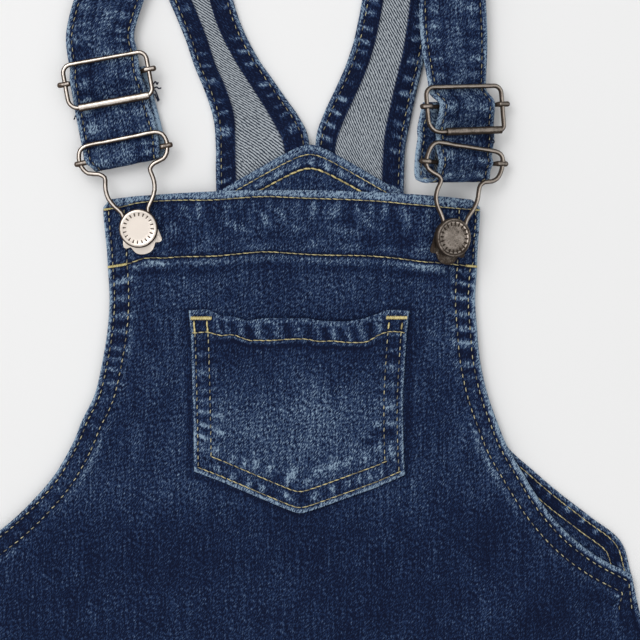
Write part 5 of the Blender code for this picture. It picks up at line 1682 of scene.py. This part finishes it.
def makePlate(side, seat):
    # The keyhole's rim is extruded outwards to the plate's outline
    half = smoothPath(hardware["plateOutline"], [2] * len(hardware["plateOutline"]))
    outline = np.concatenate((half[::-1], half[1:-1] * (-1.0, 1.0)))
    bpy.ops.object.select_all(action="DESELECT")
    bpy.ops.mesh.primitive_circle_add(
        vertices=len(outline), radius=hardware["keyhole"] * mm, rotation=(0.0, 0.0, -pi / 2))
    bpy.ops.object.transform_apply(location=True, rotation=True, scale=True)
    startEdit("VERT")
    bpy.ops.mesh.select_all(action="SELECT")
    bpy.ops.mesh.extrude_region_move(TRANSFORM_OT_translate={"value": (0.0, 0.0, 0.0)})
    bpy.ops.object.mode_set(mode="OBJECT")
    plate = bpy.context.object
    # Each point goes to the outline's point in the same turn round the hole
    moved = [vertex for vertex in plate.data.vertices if vertex.select]
    moved = [vertex.index for vertex in sorted(moved, key=lambda vertex: roundHole(vertex.co))]
    for index, (x, y) in zip(moved, sorted(outline, key=roundHole)):
        start = plate.data.vertices[index].co.copy()
        bpy.ops.object.mode_set(mode="EDIT")
        bpy.ops.mesh.select_all(action="DESELECT")
        bpy.ops.object.mode_set(mode="OBJECT")
        plate.data.vertices[index].select = True
        bpy.ops.object.mode_set(mode="EDIT")
        bpy.ops.transform.translate(value=(x * mm - start[0], y * mm - start[1], 0.0))
        bpy.ops.object.mode_set(mode="OBJECT")
    bpy.ops.object.mode_set(mode="EDIT")
    plate = stopEdit()
    for kind, settings in (("SOLIDIFY", {"thickness": hardware["plate"] * mm, "offset": 0.0}),
                           ("BEVEL", {"width": 0.16 * mm, "segments": 2, "limit_method": "ANGLE"})):
        made = plate.modifiers.new(kind.lower(), kind)
        for setting, value in settings.items():
            setattr(made, setting, value)
        bpy.ops.object.modifier_apply(modifier=made.name)
    right, up = hardware["plateShift"][side]
    drop = -wire["thick"] / 2 - gap - hardware["plate"] / 2
    return layPiece(plate, "plate_" + side, side, seat, "hook_plate_" + side,
                    (right, up - hardware["buttonDrop"], drop))


def makeButton(side, seat):
    # Pressed cap with a rolled edge, a sunk flat face and its post
    outer, post = hardware["button"], hardware["post"]
    bpy.ops.object.select_all(action="DESELECT")
    bpy.ops.mesh.primitive_cylinder_add(
        vertices=56, radius=outer * mm, depth=1.0 * mm, location=(0.0, 0.0, 0.5 * mm))
    bpy.ops.object.transform_apply(location=True, rotation=True, scale=True)
    startEdit("FACE")
    pickFaces(lambda centre, normal: normal.z > 0.9)
    for inward, rise in hardware["capSteps"]:
        bpy.ops.mesh.inset(thickness=inward * mm)
        bpy.ops.transform.translate(value=(0.0, 0.0, rise * mm))
    pickFaces(lambda centre, normal: normal.z < -0.9)
    upToPost = outer - post - sum(inward for inward, rise in hardware["capBack"])
    for inward, rise in (*hardware["capBack"], (upToPost, 0.0)):
        bpy.ops.mesh.inset(thickness=inward * mm)
        bpy.ops.transform.translate(value=(0.0, 0.0, rise * mm))
    down = -hardware["postReach"][side] * mm
    bpy.ops.mesh.extrude_region_move(TRANSFORM_OT_translate={"value": (0.0, 0.0, down)})
    button = stopEdit()
    right, up = hardware["capShift"][side]
    return layPiece(button, "button_cap_" + side, side, seat, "button_" + side,
                    (right, up - hardware["buttonDrop"], hardware["capFoot"]))


def makeSlider(side, seat):
    half = sliderSize["half"]
    route = sliderRoute(side)
    frameWire = bendWire(route, [hardware["wire"]] * len(route), True)
    frameWire = addEyes(frameWire, [(-half, 0.0, 0.0), (half, 0.0, 0.0)])
    layPiece(frameWire, "slider_" + side, side, seat, "slider_frame_" + side)
    makeBar(side, seat, "slider_rod_" + side, "slider_bar_" + side)
    makeRoller(side, seat)


def makeHook(side, seat):
    halves = [smoothPath(half, [1] + [2] * (len(half) - 2) + [1]) for half in hardware["hookHalves"][side]]
    left, right = halves[0], halves[-1]
    route = np.concatenate((left[:0:-1] * (-1.0, 1.0), right))
    hookWire = bendWire(route, [hardware["wire"]] * len(route))
    # The loose bar's eyes lie where its line crosses the wire's two upright stretches
    barTurn = strap["loops"][side][0]
    crossings = []
    for sign, half in ((-1.0, left), (1.0, right)):
        upstretch = half[4:20]
        slope = sign * np.tan(radians(barTurn))
        x, y = upstretch[int(np.argmin(np.abs(upstretch[:, 1] - upstretch[:, 0] * slope)))]
        crossings.append((sign * x, y, radians(barTurn)))
    layPiece(addEyes(hookWire, crossings), "hook_" + side, side, seat, "hook_wire_" + side)
    barSeat = (*seat[:3], seat[3] + barTurn, seat[4])
    makeBar(side, barSeat, "hook_rod_" + side, "hook_bar_" + side)
    makePlate(side, seat)
    makeButton(side, seat)


for side in ("left", "right"):
    makeSlider(side, sliderSize["seats"][side])
    makeHook(side, hookSize["seats"][side])
    print("hardware made:", side)


# Camera, lights and floor

studio = {
    "lens": 100.0,
    "sensor": 36.0,
    "camera": (0.01296, 0.0531, 0.795),  # straight above the bib, in metres
    "floor": (0.86, 0.86, 0.86),
    # The room's brightness across it: darker on the right, which the tilted metal reflects
    "room": (("From Min", 0.25), ("From Max", 0.75), ("To Min", 0.80), ("To Max", 0.20)),
    # Name, size, place, turn and power
    "lamps": (("key", 0.9, (-0.7, 0.8, 1.3), (-31.0, -26.0, 0.0), 9.0),
              ("fill", 1.4, (0.9, -0.4, 1.4), (15.0, 32.0, 0.0), 4.0)),
}
camera = bpy.data.objects.new("camera", bpy.data.cameras.new("camera"))
camera.data.lens = studio["lens"]
camera.data.sensor_width = studio["sensor"]
camera.location = studio["camera"]
camera.data.clip_start = 0.05
bpy.context.collection.objects.link(camera)
bpy.context.scene.camera = camera
bpy.context.scene.view_settings.view_transform = "Standard"

bpy.ops.mesh.primitive_plane_add(size=4.0, location=(0.0, 0.0, -0.0005))
floorPiece = bpy.context.object
floorPiece.name = "floor"
paper = Surface("paper")
floorPiece.data.materials.append(paper.set(Base_Color=studio["floor"], Roughness=0.8))

world = bpy.data.worlds.new("studio")
bpy.context.scene.world = world
world.use_nodes = True
sky = world.node_tree
backdrop = sky.nodes["Background"]
backdrop.inputs["Color"].default_value = (1.0, 1.0, 1.0, 1.0)
direction = sky.nodes.new("ShaderNodeTexCoord")
parts = sky.nodes.new("ShaderNodeSeparateXYZ")
fade = sky.nodes.new("ShaderNodeMapRange")
sky.links.new(direction.outputs["Generated"], parts.inputs[0])
sky.links.new(parts.outputs["X"], fade.inputs["Value"])
for socket, value in studio["room"]:
    fade.inputs[socket].default_value = value
sky.links.new(fade.outputs[0], backdrop.inputs["Strength"])
for name, size, place, turn, power in studio["lamps"]:
    lamp = bpy.data.objects.new(name, bpy.data.lights.new(name, "AREA"))
    lamp.data.size = size
    lamp.data.energy = power
    lamp.location = place
    lamp.rotation_euler = [radians(angle) for angle in turn]
    bpy.context.collection.objects.link(lamp)
print("camera, lights and floor set")
